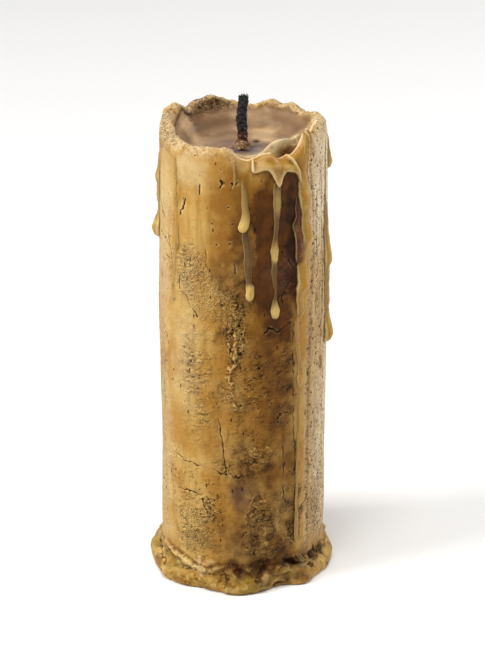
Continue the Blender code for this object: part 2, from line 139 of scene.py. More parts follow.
def ease(low: float, high: float, value: np.ndarray) -> np.ndarray:
    """The share of the way from low to high, held to 0 and 1 and eased at both ends.

    Args:
        low: Where the share is 0.
        high: Where the share is 1; it may be the lower of the two.
        value: The values to place.

    Returns:
        3s^2 - 2s^3 of the straight share s.
    """
    share = held((value - low) / (high - low))
    return share * share * (3.0 - 2.0 * share)


def turned(angle: np.ndarray, centre: np.ndarray | float) -> np.ndarray:
    """The turn from a centre to each angle, in degrees from -180 to 180."""
    return (angle - centre + 180.0) % 360.0 - 180.0


def mixed(start: np.ndarray, end: np.ndarray, share: np.ndarray) -> np.ndarray:
    """The value a share of the way from start to end."""
    return start + (end - start) * share


def softened(values: np.ndarray, count: int) -> np.ndarray:
    """A line of values averaged with a rounded window of count values, its ends held."""
    window = np.hanning(count + 2)[1:-1]
    padded = np.pad(values, (count // 2, count - 1 - count // 2), mode="edge")
    return np.convolve(padded, window / window.sum(), mode="valid")


def round_axis(turn: np.ndarray, radius: np.ndarray | float, height: np.ndarray | float) -> np.ndarray:
    """Points at a turn from the front, in radians, a radius and a height."""
    return np.stack(np.broadcast_arrays(radius * np.sin(turn), -radius * np.cos(turn), height), axis=-1)


def line_through(points: tuple, value: np.ndarray, reach: float) -> np.ndarray:
    """The second number of a line through points at each value, averaged over a short stretch.

    Args:
        points: Pairs (value, number), the values growing.
        value: Where the line is read.
        reach: How far to each side it is averaged.

    Returns:
        One number for each value.
    """
    values, numbers = np.array(points, dtype=float).T
    steps = np.linspace(-reach, reach, 7)
    return np.mean([np.interp(value + step, values, numbers) for step in steps], axis=0)


@dataclass(frozen=True)
class Noise:
    """Seeded gradient noise in space."""

    seed: int

    def at(self, points: np.ndarray, size: float) -> np.ndarray:
        """Noise of one size: at each corner of a point's cell, a random direction is dotted with the
        way to the point, and the eight are blended with the fade 6f^5 - 15f^4 + 10f^3.

        Args:
            points: Places, with x, y and z on the last axis.
            size: The size of a cell, in the units of the points.

        Returns:
            About -1 to 1, one value for each point.
        """
        random = np.random.default_rng(self.seed)
        order = random.permutation(256)
        order = np.concatenate([order, order])
        ways = random.normal(size=(256, 3)).astype(np.float32)
        ways /= np.linalg.norm(ways, axis=1, keepdims=True)
        scaled = (points / size).astype(np.float32)
        cell = np.floor(scaled).astype(np.int32)
        inside = scaled - cell
        fade = inside**3 * (inside * (inside * 6.0 - 15.0) + 10.0)
        total = np.zeros(points.shape[:-1], np.float32)
        for corner in np.ndindex(2, 2, 2):
            place = (cell + corner) & 255
            pick = order[order[order[place[..., 0]] + place[..., 1]] + place[..., 2]]
            weight = np.prod(np.where(corner, fade, 1.0 - fade), axis=-1)
            total += weight * np.sum(ways[pick] * (inside - np.array(corner)), axis=-1)
        return 1.6 * total

    def layered(self, points: np.ndarray, size: float, layers: int = 3) -> np.ndarray:
        """Noise of a size, with finer and weaker layers added, each half of the one before."""
        total = self.at(points, size)
        for layer in range(1, layers):
            finer = Noise(self.seed + layer)
            total = total + finer.at(points, size / 2**layer) / 2**layer
        return total


@dataclass(frozen=True)
class Marks:
    """Small marks, round or long, one at most in each cell of a net round the wall."""

    seed: int
    cell: float
    half_length: float
    half_width: float
    share: float
    slope: float = 0.0
    scatter: float = 90.0

    def at(self, across: np.ndarray, height: np.ndarray, girth: float) -> np.ndarray:
        """How deep each point lies in a mark: 1 - (along / length)^2 - (off / width)^2 of the mark
        that it is deepest in. Each cell's mark has a random place, size, turn and presence.

        Args:
            across: Distance round the wall.
            height: Height on the wall.
            girth: The distance once round the wall, after which the net repeats.

        Returns:
            0 outside the marks, up to 1 in their middles.
        """
        columns = max(3, round(girth / self.cell))
        side = girth / columns
        random = np.random.default_rng(self.seed)
        net = random.random((5, 64, columns)).astype(np.float32)
        slopes = np.radians(self.slope + self.scatter * (2.0 * net[4] - 1.0))
        across, height = across.astype(np.float32), height.astype(np.float32)
        column = np.floor(across / side).astype(int)
        row = np.floor(height / side).astype(int)
        depth = np.zeros(across.shape, np.float32)
        for step_row, step_column in np.ndindex(3, 3):
            at_row = row + step_row - 1
            at_column = column + step_column - 1
            cell = (at_row % 64, at_column % columns)
            away_x = across - (at_column + 0.15 + 0.7 * net[0][cell]) * side
            away_y = height - (at_row + 0.15 + 0.7 * net[1][cell]) * side
            cosine, sine = np.cos(slopes)[cell], np.sin(slopes)[cell]
            size = 0.45 + 0.55 * net[2][cell] ** 2
            along = (away_x * cosine + away_y * sine) / (self.half_length * size)
            off = (away_y * cosine - away_x * sine) / (self.half_width * size)
            bowl = np.where(net[3][cell] < self.share, 1.0 - along**2 - off**2, 0.0)
            depth = np.maximum(depth, bowl)
        return depth


# ---------------------------------------------------------------- features of the wax


@dataclass(frozen=True)
class Lobe:
    """A rounded rise or dip of a line that goes round the candle."""

    angle: float
    rise: float
    half_angle: float

    def at(self, angle: np.ndarray) -> np.ndarray:
        """The rise times exp(-(turn / half_angle)^2)."""
        return self.rise * bell(turned(angle, self.angle) / self.half_angle)


@dataclass(frozen=True)
class Patch:
    """A soft-edged area of the wall."""

    angle: float
    height: float
    half_angle: float
    half_height: float
    strength: float = 1.0

    def at(self, angle: np.ndarray, height: np.ndarray) -> np.ndarray:
        """The strength times exp(-d^3), where d is the distance from the middle in half-sizes."""
        across = turned(angle, self.angle) / self.half_angle
        along = (height - self.height) / self.half_height
        return self.strength * spot(across, along, 1.5)


@dataclass(frozen=True)
class Line:
    """A crack or a raised thread of wax: a line on the wall with a rounded section.

    Its depth goes into the wax, and a crack has a low lip beside it; a raised thread's depth is below
    0. Jag is how far the wall's jitter bends it.
    """

    route: tuple[tuple[float, float], ...]
    half_width: float = 0.22
    depth: float = 0.45
    jag: float = 0.7
    broken: float = 0.75

    def depth_at(self, wall: "Wall") -> np.ndarray:
        """The line's depth: depth times exp(-(distance / half_width)^2), the distance being to the
        nearest stretch of the route. Noise thins the line along its way.

        Args:
            wall: The points of the wall.

        Returns:
            Millimetres into the wax; below 0 where it is raised.
        """
        across = wall.across + self.jag * wall.shift
        height = wall.height + self.jag * wall.shift_up
        result = np.zeros(across.shape)
        places = [(math.radians(angle) * wall.radius, level) for angle, level in self.route]
        reach = 7.0 * self.half_width
        sides, levels = zip(*places)
        near = (across > min(sides) - reach) & (across < max(sides) + reach)
        near &= (height > min(levels) - reach) & (height < max(levels) + reach)
        nearest = np.full(int(near.sum()), 9.0)
        for (x0, y0), (x1, y1) in zip(places, places[1:]):
            step = np.array([x1 - x0, y1 - y0])
            from_start = np.stack([across[near] - x0, height[near] - y0], axis=-1)
            share = held(from_start @ step / (step @ step))
            distance = np.linalg.norm(from_start - share[:, None] * step, axis=-1)
            nearest = np.minimum(nearest, distance)
        present = 1.0 - self.broken * ease(0.25, -0.35, wall.medium[near])
        valley = self.depth * present * bell(nearest / self.half_width)
        lip = max(0.0, 0.1 * self.depth) * bell(nearest / (3.0 * self.half_width))
        result[near] = valley - lip * present
        return result


@dataclass
class Wall:
    """The grid's points seen as a flat sheet, with the noise that roughens what lies on it."""

    radius: float
    height: np.ndarray
    across: np.ndarray
    shift: np.ndarray
    shift_up: np.ndarray
    medium: np.ndarray


@dataclass(frozen=True)
class Run:
    """Wax that ran down the wall and set. Its rows are (height, angle, half-width, depth), from the
    top down. Stain is how dark its wax is, from 0 for fresh to 1 for burnt amber, and clear is how far
    the dark wall shows through where it is thin."""

    name: str
    rows: tuple[tuple[float, float, float, float], ...]
    stain: float
    clear: float = 0.25

    def sizes(self, height: np.ndarray) -> tuple[np.ndarray, np.ndarray, np.ndarray]:
        """The run's middle line, half-width and depth at evenly spaced heights that grow.

        They go straight from row to row and are then softened. The width ripples by two sines, and
        both ends close as quarter circles.

        Args:
            height: Heights from the run's foot to its top.

        Returns:
            The middle line in degrees, and the half-width and depth in millimetres.
        """
        levels, angles, widths, depths = np.array(self.rows)[::-1].T
        spacing = height[1] - height[0]
        phase = sum(map(ord, self.name))
        centre = softened(np.interp(height, levels, angles), max(3, round(2.2 / spacing)))
        centre = centre + 0.2 * np.sin(height / 1.9 + phase)
        ripple = 1.0 + 0.05 * np.sin(height / 1.3 + 2 * phase) + 0.05 * np.sin(height / 0.7 + phase)
        count = max(3, round(1.1 / spacing))
        half_width = softened(np.interp(height, levels, widths) * ripple, count)
        depth = softened(np.interp(height, levels, depths), count)
        foot = held(1.0 - (height - levels[0]) / (0.9 * half_width[0] + 0.2))
        top = held(1.0 - (levels[-1] - height) / 2.0)
        close = np.sqrt(1.0 - foot**2) * np.sqrt(1.0 - top**2)
        return centre, half_width * close, depth * close

    def beside(self, angle: np.ndarray, height: np.ndarray, radius: float) -> np.ndarray:
        """How close each point of the wall lies to the run's edge: exp(-(distance / 0.5 mm)^2).

        Args:
            angle: Angle of each point, in degrees.
            height: Height of each point.
            radius: The wall's radius.

        Returns:
            1 under the run, 0 away from it.
        """
        levels = np.linspace(self.rows[-1][0], self.rows[0][0], 400)
        centre, half_width, _ = self.sizes(levels)
        middle = np.interp(height, levels, centre)
        half = np.interp(height, levels, half_width, left=-9.0, right=-9.0)
        away = np.abs(np.radians(turned(angle, middle))) * radius - half
        return bell(np.clip(away, 0.0, None) / 0.5)


def features(kind: type, *rows: tuple) -> tuple:
    """Features of one kind, from rows of their numbers."""
    return tuple(kind(*row) for row in rows)


patches, lobes, lines = (partial(features, kind) for kind in (Patch, Lobe, Line))

RUNS = (
    Run("left_run", (
        (162.5, -53.8, 0.6, 0.3), (157, -53.1, 0.9, 0.5), (154.1, -53, 1.1, 0.6), (152.2, -53.2, 0.6, 0.3),
        (147.4, -52.6, 1.2, 0.9), (144.8, -52.8, 1.2, 1), (143.4, -52.6, 0.4, 0.25),
        (139.6, -52.6, 0.4, 0.2), (137, -51.8, 0.9, 0.6), (133.6, -52, 1.5, 1.2), (130.2, -52.2, 2, 1.8),
        (128, -52, 1, 0.8), (127, -53, 0.35, 0.2), (124.6, -52.8, 0.9, 0.6), (121, -54, 0.6, 0.35),
        (117.5, -55, 0.5, 0.3), (114.6, -55.8, 1, 0.8), (112, -55.8, 0.4, 0.3), (109.8, -54.9, 1.3, 0.9),
        (108.2, -54.8, 0.7, 0.5),
    ), 0.5, 0.0),
    Run("lip_run", (
        (165.5, -5.3, 0.4, 0.3), (159, -4.9, 0.55, 0.6), (157.6, -5.1, 0.4, 0.4), (154.6, -6.4, 0.45, 0.5),
    ), 0.1),
    Run("front_run", (
        (158.4, -0.2, 0.35, 0.25), (156, 0.2, 0.55, 0.4), (153.6, 0.9, 0.9, 0.6), (150.8, 1.3, 1, 0.7),
        (148.2, 1.7, 1.15, 0.8), (145.8, 2.3, 1.35, 0.95), (143.8, 2.1, 1.5, 1.25), (142, 0.9, 1.8, 1.8),
        (140.4, 0.2, 1.8, 2), (139.3, 0.1, 1.4, 1.6), (138.4, 0.1, 0.9, 0.9),
    ), 0.15, 0.3),
    Run("front_run_low", (
        (140, 1.6, 0.8, 0.3), (137, 2.3, 1.25, 0.6), (132.4, 3.3, 1.4, 0.7), (126.6, 3.6, 1.4, 0.8),
        (121.4, 4.1, 1.15, 0.7), (119.4, 4.2, 0.9, 0.8), (117.8, 5, 1.5, 1.7), (115.2, 5, 1.65, 2.1),
        (113.4, 5, 1.3, 1.5), (112.4, 5, 0.8, 0.8),
    ), 0.15, 0.85),
    Run("middle_run", (
        (157, 24, 1.2, 0.5), (153.6, 23.2, 1.5, 1), (150, 23.4, 1.45, 1.2), (146.6, 23.8, 1.4, 1.2),
        (144, 23.8, 1.2, 0.8), (140.6, 23.3, 0.8, 0.5), (136, 23, 0.85, 0.5), (134.4, 22.8, 1, 0.9),
        (131.2, 22.3, 1.5, 1.5), (127.8, 22.1, 1.35, 1.7), (126, 22.2, 0.9, 0.9), (123.6, 22.5, 1.1, 0.5),
        (119, 22.7, 0.9, 0.45), (116, 23.3, 0.4, 0.3), (113, 23, 0.55, 0.4), (111.4, 22.8, 1.1, 1.1),
        (108.2, 23, 1.65, 1.9), (106, 22.9, 1.4, 1.7), (104.7, 22.9, 0.8, 0.8),
    ), 0.1, 0.75),
    Run("long_run", (
        (172, 51.6, 0.9, 0.7), (167, 48.6, 1.1, 0.8), (159, 44.8, 1.5, 1), (155, 44.4, 1.9, 1.3),
        (151.4, 45.4, 2.5, 1.7), (148.4, 46.4, 2.9, 2.2), (145.6, 46.8, 2.4, 1.9), (142, 47.1, 2, 1.6),
        (139, 47, 1.9, 1.7), (136, 48, 2.5, 2.2), (133.4, 48.4, 2.4, 2.6), (131.6, 47.8, 1.6, 1.7),
        (129, 47, 0.9, 0.8), (126, 46.6, 1.2, 0.9), (124.2, 44.2, 2, 1.2), (121.4, 44.5, 2.5, 1.7),
        (117.6, 45.2, 2.7, 2.2), (114.8, 45, 2.7, 2.4), (113, 43.4, 1.9, 1.5), (110.4, 42.5, 1.7, 1.2),
        (106.4, 43.5, 1.65, 1.4), (104, 43.4, 1.4, 1.2), (102.4, 41, 1, 0.6), (99, 40.4, 1, 0.6),
        (95, 41, 0.8, 0.5), (90.6, 42.4, 0.9, 0.7), (84, 43.8, 0.9, 0.8), (80.6, 43.5, 1.45, 1.8),
        (78.6, 43.3, 1.2, 1.4), (76.6, 43.2, 0.5, 0.5), (62, 42.7, 0.5, 0.5), (48, 41.5, 0.6, 0.5),
        (30, 40.4, 0.6, 0.5), (21, 40.2, 1, 0.9), (15, 40, 0.6, 0.5),
    ), 0.5, 0.1),
    Run("long_run_side", (
        (150, 40.5, 0.6, 0.3), (146.4, 39.8, 0.9, 0.7), (142, 40.2, 1.1, 1), (139, 38.6, 1.9, 1.2),
        (136.6, 40.6, 1.7, 1.5), (131, 41.2, 1.7, 1.5), (127, 41.5, 1.6, 1.6), (124.4, 41.6, 1.1, 1),
    ), 1.0, 1.0),
    Run("right_run", (
        (166, 75, 0.6, 0.3), (146, 74, 0.7, 0.4), (140, 74.6, 1.6, 0.8), (134, 75, 2.3, 1.1),
        (127, 75.4, 2.6, 1.6), (122, 76, 2.9, 2.4), (119.6, 76, 2.7, 2.3), (117.6, 75.6, 2.4, 1.4),
        (110, 75.4, 2.4, 1.2), (104.6, 75.2, 2.3, 1.4), (102, 75.2, 2.2, 1.1), (98, 75.6, 2.5, 1.6),
        (94.4, 76.4, 2.9, 2.5), (91.6, 76.4, 3, 3.1), (89.4, 76.6, 2.5, 2.3), (88, 77, 1.6, 1.2),
    ), 0.6, 0.5),
    Run("right_drop", (
        (166, 87, 0.8, 0.4), (160, 87, 1, 0.9), (155.6, 87, 1.6, 1.8), (153, 87, 1, 1),
    ), 0.4),
    Run("right_bead", ((86, 68, 0.5, 0.3), (81.4, 67, 0.9, 0.9), (79.6, 67, 0.6, 0.6)), 0.6),
    Run("left_edge_run", (
        (160, -84, 0.8, 0.4), (154, -84, 1.2, 0.9), (150.4, -84, 1.6, 1.9), (147.6, -84, 1.2, 1.1),
        (143, -84, 1.2, 1.2), (138, -84.4, 1.1, 0.7), (134.4, -84.6, 1.8, 1.9), (131, -84.8, 2.3, 3),
        (128.6, -85, 2, 2.4), (127.2, -85, 1.2, 1.2),
    ), 0.4),
    Run("back_left_run", (
        (168, -124, 0.8, 0.4), (152, -125, 1.1, 0.8), (144, -124.6, 1.7, 1.6), (140.6, -125, 1.1, 0.8),
        (131, -126, 0.8, 0.6), (124, -126.6, 1.5, 1.5), (120, -127, 1.9, 2.2), (117.4, -127, 1.2, 1.2),
    ), 0.3),
    Run("back_run", (
        (168, -163, 1.2, 0.5), (157, -161, 1.6, 1.2), (150, -160, 2.1, 1.9), (145.6, -160.4, 1.4, 1),
        (131, -162, 1, 0.7), (117, -160, 1.4, 1.2), (111, -159.6, 1.8, 1.8), (108, -159.2, 1.1, 0.8),
        (88, -158.6, 0.7, 0.5), (77, -159, 1.4, 1.3), (73, -159, 1.8, 2), (70.4, -159, 1.1, 1.1),
    ), 0.4),
    Run("back_right_run", (
        (168, 141, 1, 0.4), (151, 138.4, 1.1, 0.8), (137, 139, 1.8, 1.7), (132, 139.6, 1.3, 1),
        (116, 139, 0.8, 0.6), (104, 138, 1.4, 1.4), (99.6, 138, 1.9, 2.1), (96.4, 138, 1.2, 1.2),
    ), 0.4),
    Run("back_drop", (
        (168, 168, 0.9, 0.4), (152, 168, 0.8, 0.6), (143, 168, 1.8, 1.9), (139.6, 168, 1.1, 1.1),
    ), 0.2),
)

LINES = lines(
    (((33, 127), (38, 120.5), (32, 117), (27, 111.7)),),
    (((15.6, 100), (18.2, 101.8), (21.6, 101.2), (25, 99.4), (31, 101.4), (35.5, 103)), 0.3, 0.7),
    (((-17, 67), (-15, 61), (-12.8, 51), (-11.2, 45.2)), 0.18, 0.5, 0.3, 0.5),
    (((-52, 49), (-44, 48), (-32, 47.5), (-20, 46.6), (-14, 45), (-7.6, 45.7)), 0.2, 0.5, 0.8, 0.8),
    (((-10, 45.8), (-4, 45.2), (-1, 45.6)), 0.4, 0.5, 2, 1),
    (((-52.6, 35.6), (-42.7, 35.8), (-28.2, 36)), 0.22, 0.5),
    (((-28.2, 34), (-26.6, 30.6), (-22.5, 28), (-18.3, 29.8)), 0.3, 0.45, 1.2),
    (((-24, 33), (-21, 30), (-17, 27)), 0.5, -0.4, 1.2),
    (((37, 104), (37.8, 78), (38.5, 58), (39.4, 46), (39.8, 32), (37.4, 24), (39, 15)), 0.28, 0.26, 0.6, 0.9),
    (((29.4, 60), (29.7, 46), (29.3, 34)), 0.18, 0.45, 0.25),
    (((-42, 149), (-44, 146), (-47.5, 141.5)), 0.24, 0.6, 0.7, 0.6),
    (((-30.1, 155), (-29.9, 151.4)), 0.24, 0.6, 0.2, 0.2),
    (((-82, 144), (-75.5, 141), (-69, 137.6)), 0.24, 0.6, 0.6, 0.5),
    (((-63, 133), (-60, 128.6), (-57.6, 124)), 0.22, 0.5, 0.6, 0.6),
    (((-14.6, 157.4), (-13.2, 156), (-14.8, 155)), 0.3, 0.5, 0.8, 0.3),
    (((-8, 156.6), (-6, 156), (-4.2, 157.4)), 0.3, 0.5, 0.6, 0.3),
    (((-43, 111.6), (-38, 108.6), (-32.3, 104.6)), 0.22, 0.5, 0.9, 0.6),
    (((-25.8, 131.6), (-25.2, 125)), 0.18, 0.35, 0.3), (((-47.6, 119.2), (-47.7, 114)), 0.2, 0.5, 0.4),
    (((-5.5, 127), (-4.8, 122.8)), 0.22, 0.5, 0.5),
    (((-6.4, 105), (-6.8, 100.3), (-7.4, 95.3), (-6.8, 89.4)), 0.2, 0.6, 1.2, 0.9),
    (((-1.9, 106), (-2.6, 101.8), (-2.2, 98), (-1.4, 93.6)), 0.24, 0.7, 1.4, 0.8),
    (((-4.6, 111), (-4.6, 104), (-5, 98), (-4.6, 90.4), (-7.6, 86)), 0.6, -0.9, 0.8, 0.3),
    (((-8.6, 103), (-9.4, 97), (-9, 90)), 0.35, -0.5, 1, 0.6),
    (((0.6, 104), (0.4, 99), (1.6, 94)), 0.4, -0.5, 1.2, 0.6),
    (((-7.4, 89), (-8.6, 84.5), (-7.4, 76), (-6, 70)), 0.6, -0.7, 1.6, 0.7),
    (((-10, 115), (-7, 112), (-3, 114), (0, 110)), 0.4, -0.5, 1.4, 0.8),
    (((-14, 106), (-12, 102)), 0.3, -0.5, 1.2, 0.6), (((-14.6, 80.6), (-10.7, 77.9)), 0.2, 0.4),
    (((27, 67.6), (30, 68.4), (33.6, 68)), 0.26, 0.5), (((29, 61.9), (33, 63.4)), 0.2, 0.4),
    (((-78, 132), (-65, 130), (-62, 128)), 0.22, 0.45), (((-67, 124.6), (-59.6, 123.7)), 0.22, 0.45),
    (((-70, 97), (-62, 92), (-60, 86)), 0.2, 0.4), (((55.6, 34.3), (49.1, 30.2), (43.4, 28.2)), 0.24, 0.5),
    (((60, 150), (59, 138), (60.4, 120), (59, 104)), 0.18, 0.4, 0.5),
    (((66, 160), (68, 120), (66, 90)), 0.2, 0.45, 0.4), (((72, 80), (74, 30)), 0.22, 0.4, 0.5),
    (((33.3, 23.7), (36.6, 20.2), (34.2, 17.6), (38.3, 15)), 0.5, -0.5, 1, 0.4),
    (((37, 27), (34, 24), (36, 19)), 0.28, 0.6, 1),
    (((3, 26), (2.1, 30), (6, 34.4), (9.3, 38.8)), 0.55, -0.4, 1.2, 0.5),
    (((4, 15), (-1, 19), (1, 23)), 0.22, 0.4, 1.2), (((120, 120), (128, 104), (126, 92)), 0.26, 0.6),
    (((128, 104), (136, 100)), 0.22, 0.5), (((-100, 80), (-112, 72), (-126, 75)), 0.26, 0.5),
    (((165, 60), (150, 52), (141, 55)), 0.26, 0.5), (((176, 112), (172, 88), (174, 70)), 0.24, 0.5, 0.4),
    (((-140, 60), (-138, 40), (-139, 22)), 0.3, 0.6, 0.4),
    (((104, 90), (103, 60), (105, 34)), 0.24, 0.5, 0.4), (((-104, 150), (-107, 128)), 0.22, 0.5, 0.5),
)

# Folds of the foot, raised or sunk.
FOLDS = lines(
    (((-70, 10.4), (-60, 9.4), (-47, 8.2), (-39, 6.9), (-30, 6), (-22, 6.2), (-16, 7.4)), 1, -0.95, 0.5, 0),
    (((-66, 11.2), (-55, 9.9), (-47, 9.4), (-39, 8.2), (-30, 7.4), (-21, 7.6)), 0.4, 0.3, 0.5, 0),
    (((-54, 3), (-44, 4), (-35, 4.4), (-24, 3.8), (-17, 2.6)), 1.3, -0.8, 0.6, 0),
    (((-84, 7.6), (-72, 6.2), (-64, 5), (-56, 4.2)), 0.4, 0.6, 0.7, 0.2),
    (((11, 2.8), (16, 4.4), (22, 5.4), (28, 6.2), (33, 6)), 1.2, -1.1, 0.5, 0),
    (((-4, 6.8), (4, 5.8), (10, 5.6), (15, 7.4)), 1.5, 0.9, 0.5, 0),
    (((-9, 2.2), (0, 1.9), (8, 2.1)), 1.4, -0.6, 0.4, 0),
    (((-12, 6.4), (-9, 4.4), (-11, 2.6)), 0.45, 0.35, 0.9, 0.2),
    (((29, 10.2), (33, 8.6), (37, 7.6), (42, 7)), 0.55, 0.8, 0.5, 0),
    (((37.6, 10.6), (41.6, 7.4)), 0.4, -0.6, 0.2, 0), (((40.6, 10.4), (44.6, 7)), 0.4, -0.6, 0.2, 0),
    (((43.6, 9.8), (47.4, 6.4)), 0.35, -0.5, 0.2, 0),
    (((59, 12.6), (60, 9.8), (63, 7.6)), 0.45, 1, 0.5, 0), (((49, 5), (54, 4.4)), 0.5, 0.8, 0.6, 0),
    (((70, 8.6), (78, 7), (88, 7.6)), 0.8, -0.7, 0.6, 0),
    (((98, 8.4), (112, 6.6), (128, 7.4), (140, 6.2)), 1, -0.9, 0.6, 0),
    (((100, 9.6), (113, 8), (128, 8.8)), 0.4, 0.7, 0.6, 0),
    (((150, 7.8), (166, 5.8), (180, 6.6), (192, 5.4)), 1.1, -0.9, 0.6, 0),
    (((152, 9.2), (168, 7.4), (181, 8.2)), 0.4, 0.7, 0.6, 0),
    (((-160, 7.6), (-146, 6), (-132, 6.8), (-118, 5.4), (-104, 6.6)), 1, -0.9, 0.6, 0),
    (((-158, 9), (-145, 7.6), (-131, 8.4)), 0.4, 0.7, 0.6, 0),
)

# How the wall swells and sinks.
WALL_FORMS = patches(
    (-4, 98, 5, 13, 0.55), (-7, 78, 6, 7, 0.35), (15, 24, 12, 12, 0.5), (12, 52, 9, 5.5, 0.45),
    (-22, 31, 7, 6, 0.4), (-39, 86, 10, 12, 0.35), (-37, 122, 13, 9, 0.3), (26, 92, 9, 16, -0.5),
    (20, 128, 8, 12, -0.35), (-14, 62, 9, 12, -0.35), (-48, 60, 10, 14, 0.3), (-60, 30, 10, 12, -0.3),
    (33, 60, 5, 20, -0.45), (-30, 146, 12, 10, 0.25), (4, 150, 8, 8, -0.3), (-10, 126, 8, 8, 0.25),
    (66, 60, 10, 20, -0.3), (74, 104, 9, 14, 0.35), (64, 138, 8, 14, -0.3), (78, 30, 10, 12, 0.35),
    (112, 130, 11, 13, 0.5), (100, 84, 12, 14, -0.4), (120, 56, 12, 14, 0.45), (140, 100, 12, 16, 0.4),
    (150, 40, 13, 13, -0.4), (165, 128, 12, 14, -0.35), (175, 78, 12, 14, 0.45), (-175, 26, 13, 12, 0.4),
    (-150, 60, 13, 15, 0.45), (-160, 140, 12, 12, 0.35), (-140, 104, 12, 14, -0.4), (-125, 32, 12, 13, 0.4),
    (-115, 76, 12, 15, 0.45), (-110, 134, 12, 14, -0.35), (-92, 100, 10, 14, 0.35), (-84, 50, 9, 14, -0.3),
    (-72, 150, 8, 8, 0.25),
)

# Pits that stand out one by one: angle, height and radius.
PITS = (
    (-1.6, 92.8, 1), (-2.6, 95.2, 0.6), (-6.4, 89.4, 0.7), (-2.4, 103.6, 0.6), (1.2, 107.4, 0.7),
    (-0.4, 100.4, 0.5), (-14, 111, 0.5), (11.7, 86.6, 0.55), (-1.3, 72.5, 0.6), (26.8, 67.9, 0.6),
    (4, 60.8, 0.45), (-54.8, 81.6, 0.5), (-56, 77.6, 0.45), (11, 71, 0.35), (20.5, 72.6, 0.35),
    (25.4, 64.9, 0.35), (23.5, 52.3, 0.35), (-14.3, 157, 0.35), (12.7, 157.5, 0.3), (-8.6, 134.3, 0.4),
    (-17.6, 133.6, 0.45), (-6.7, 141.7, 0.4), (59, 146, 0.5), (61, 139, 0.4), (58, 131, 0.4),
    (-150, 96, 0.6), (160, 84, 0.5), (110, 70, 0.55), (-96, 60, 0.5),
)


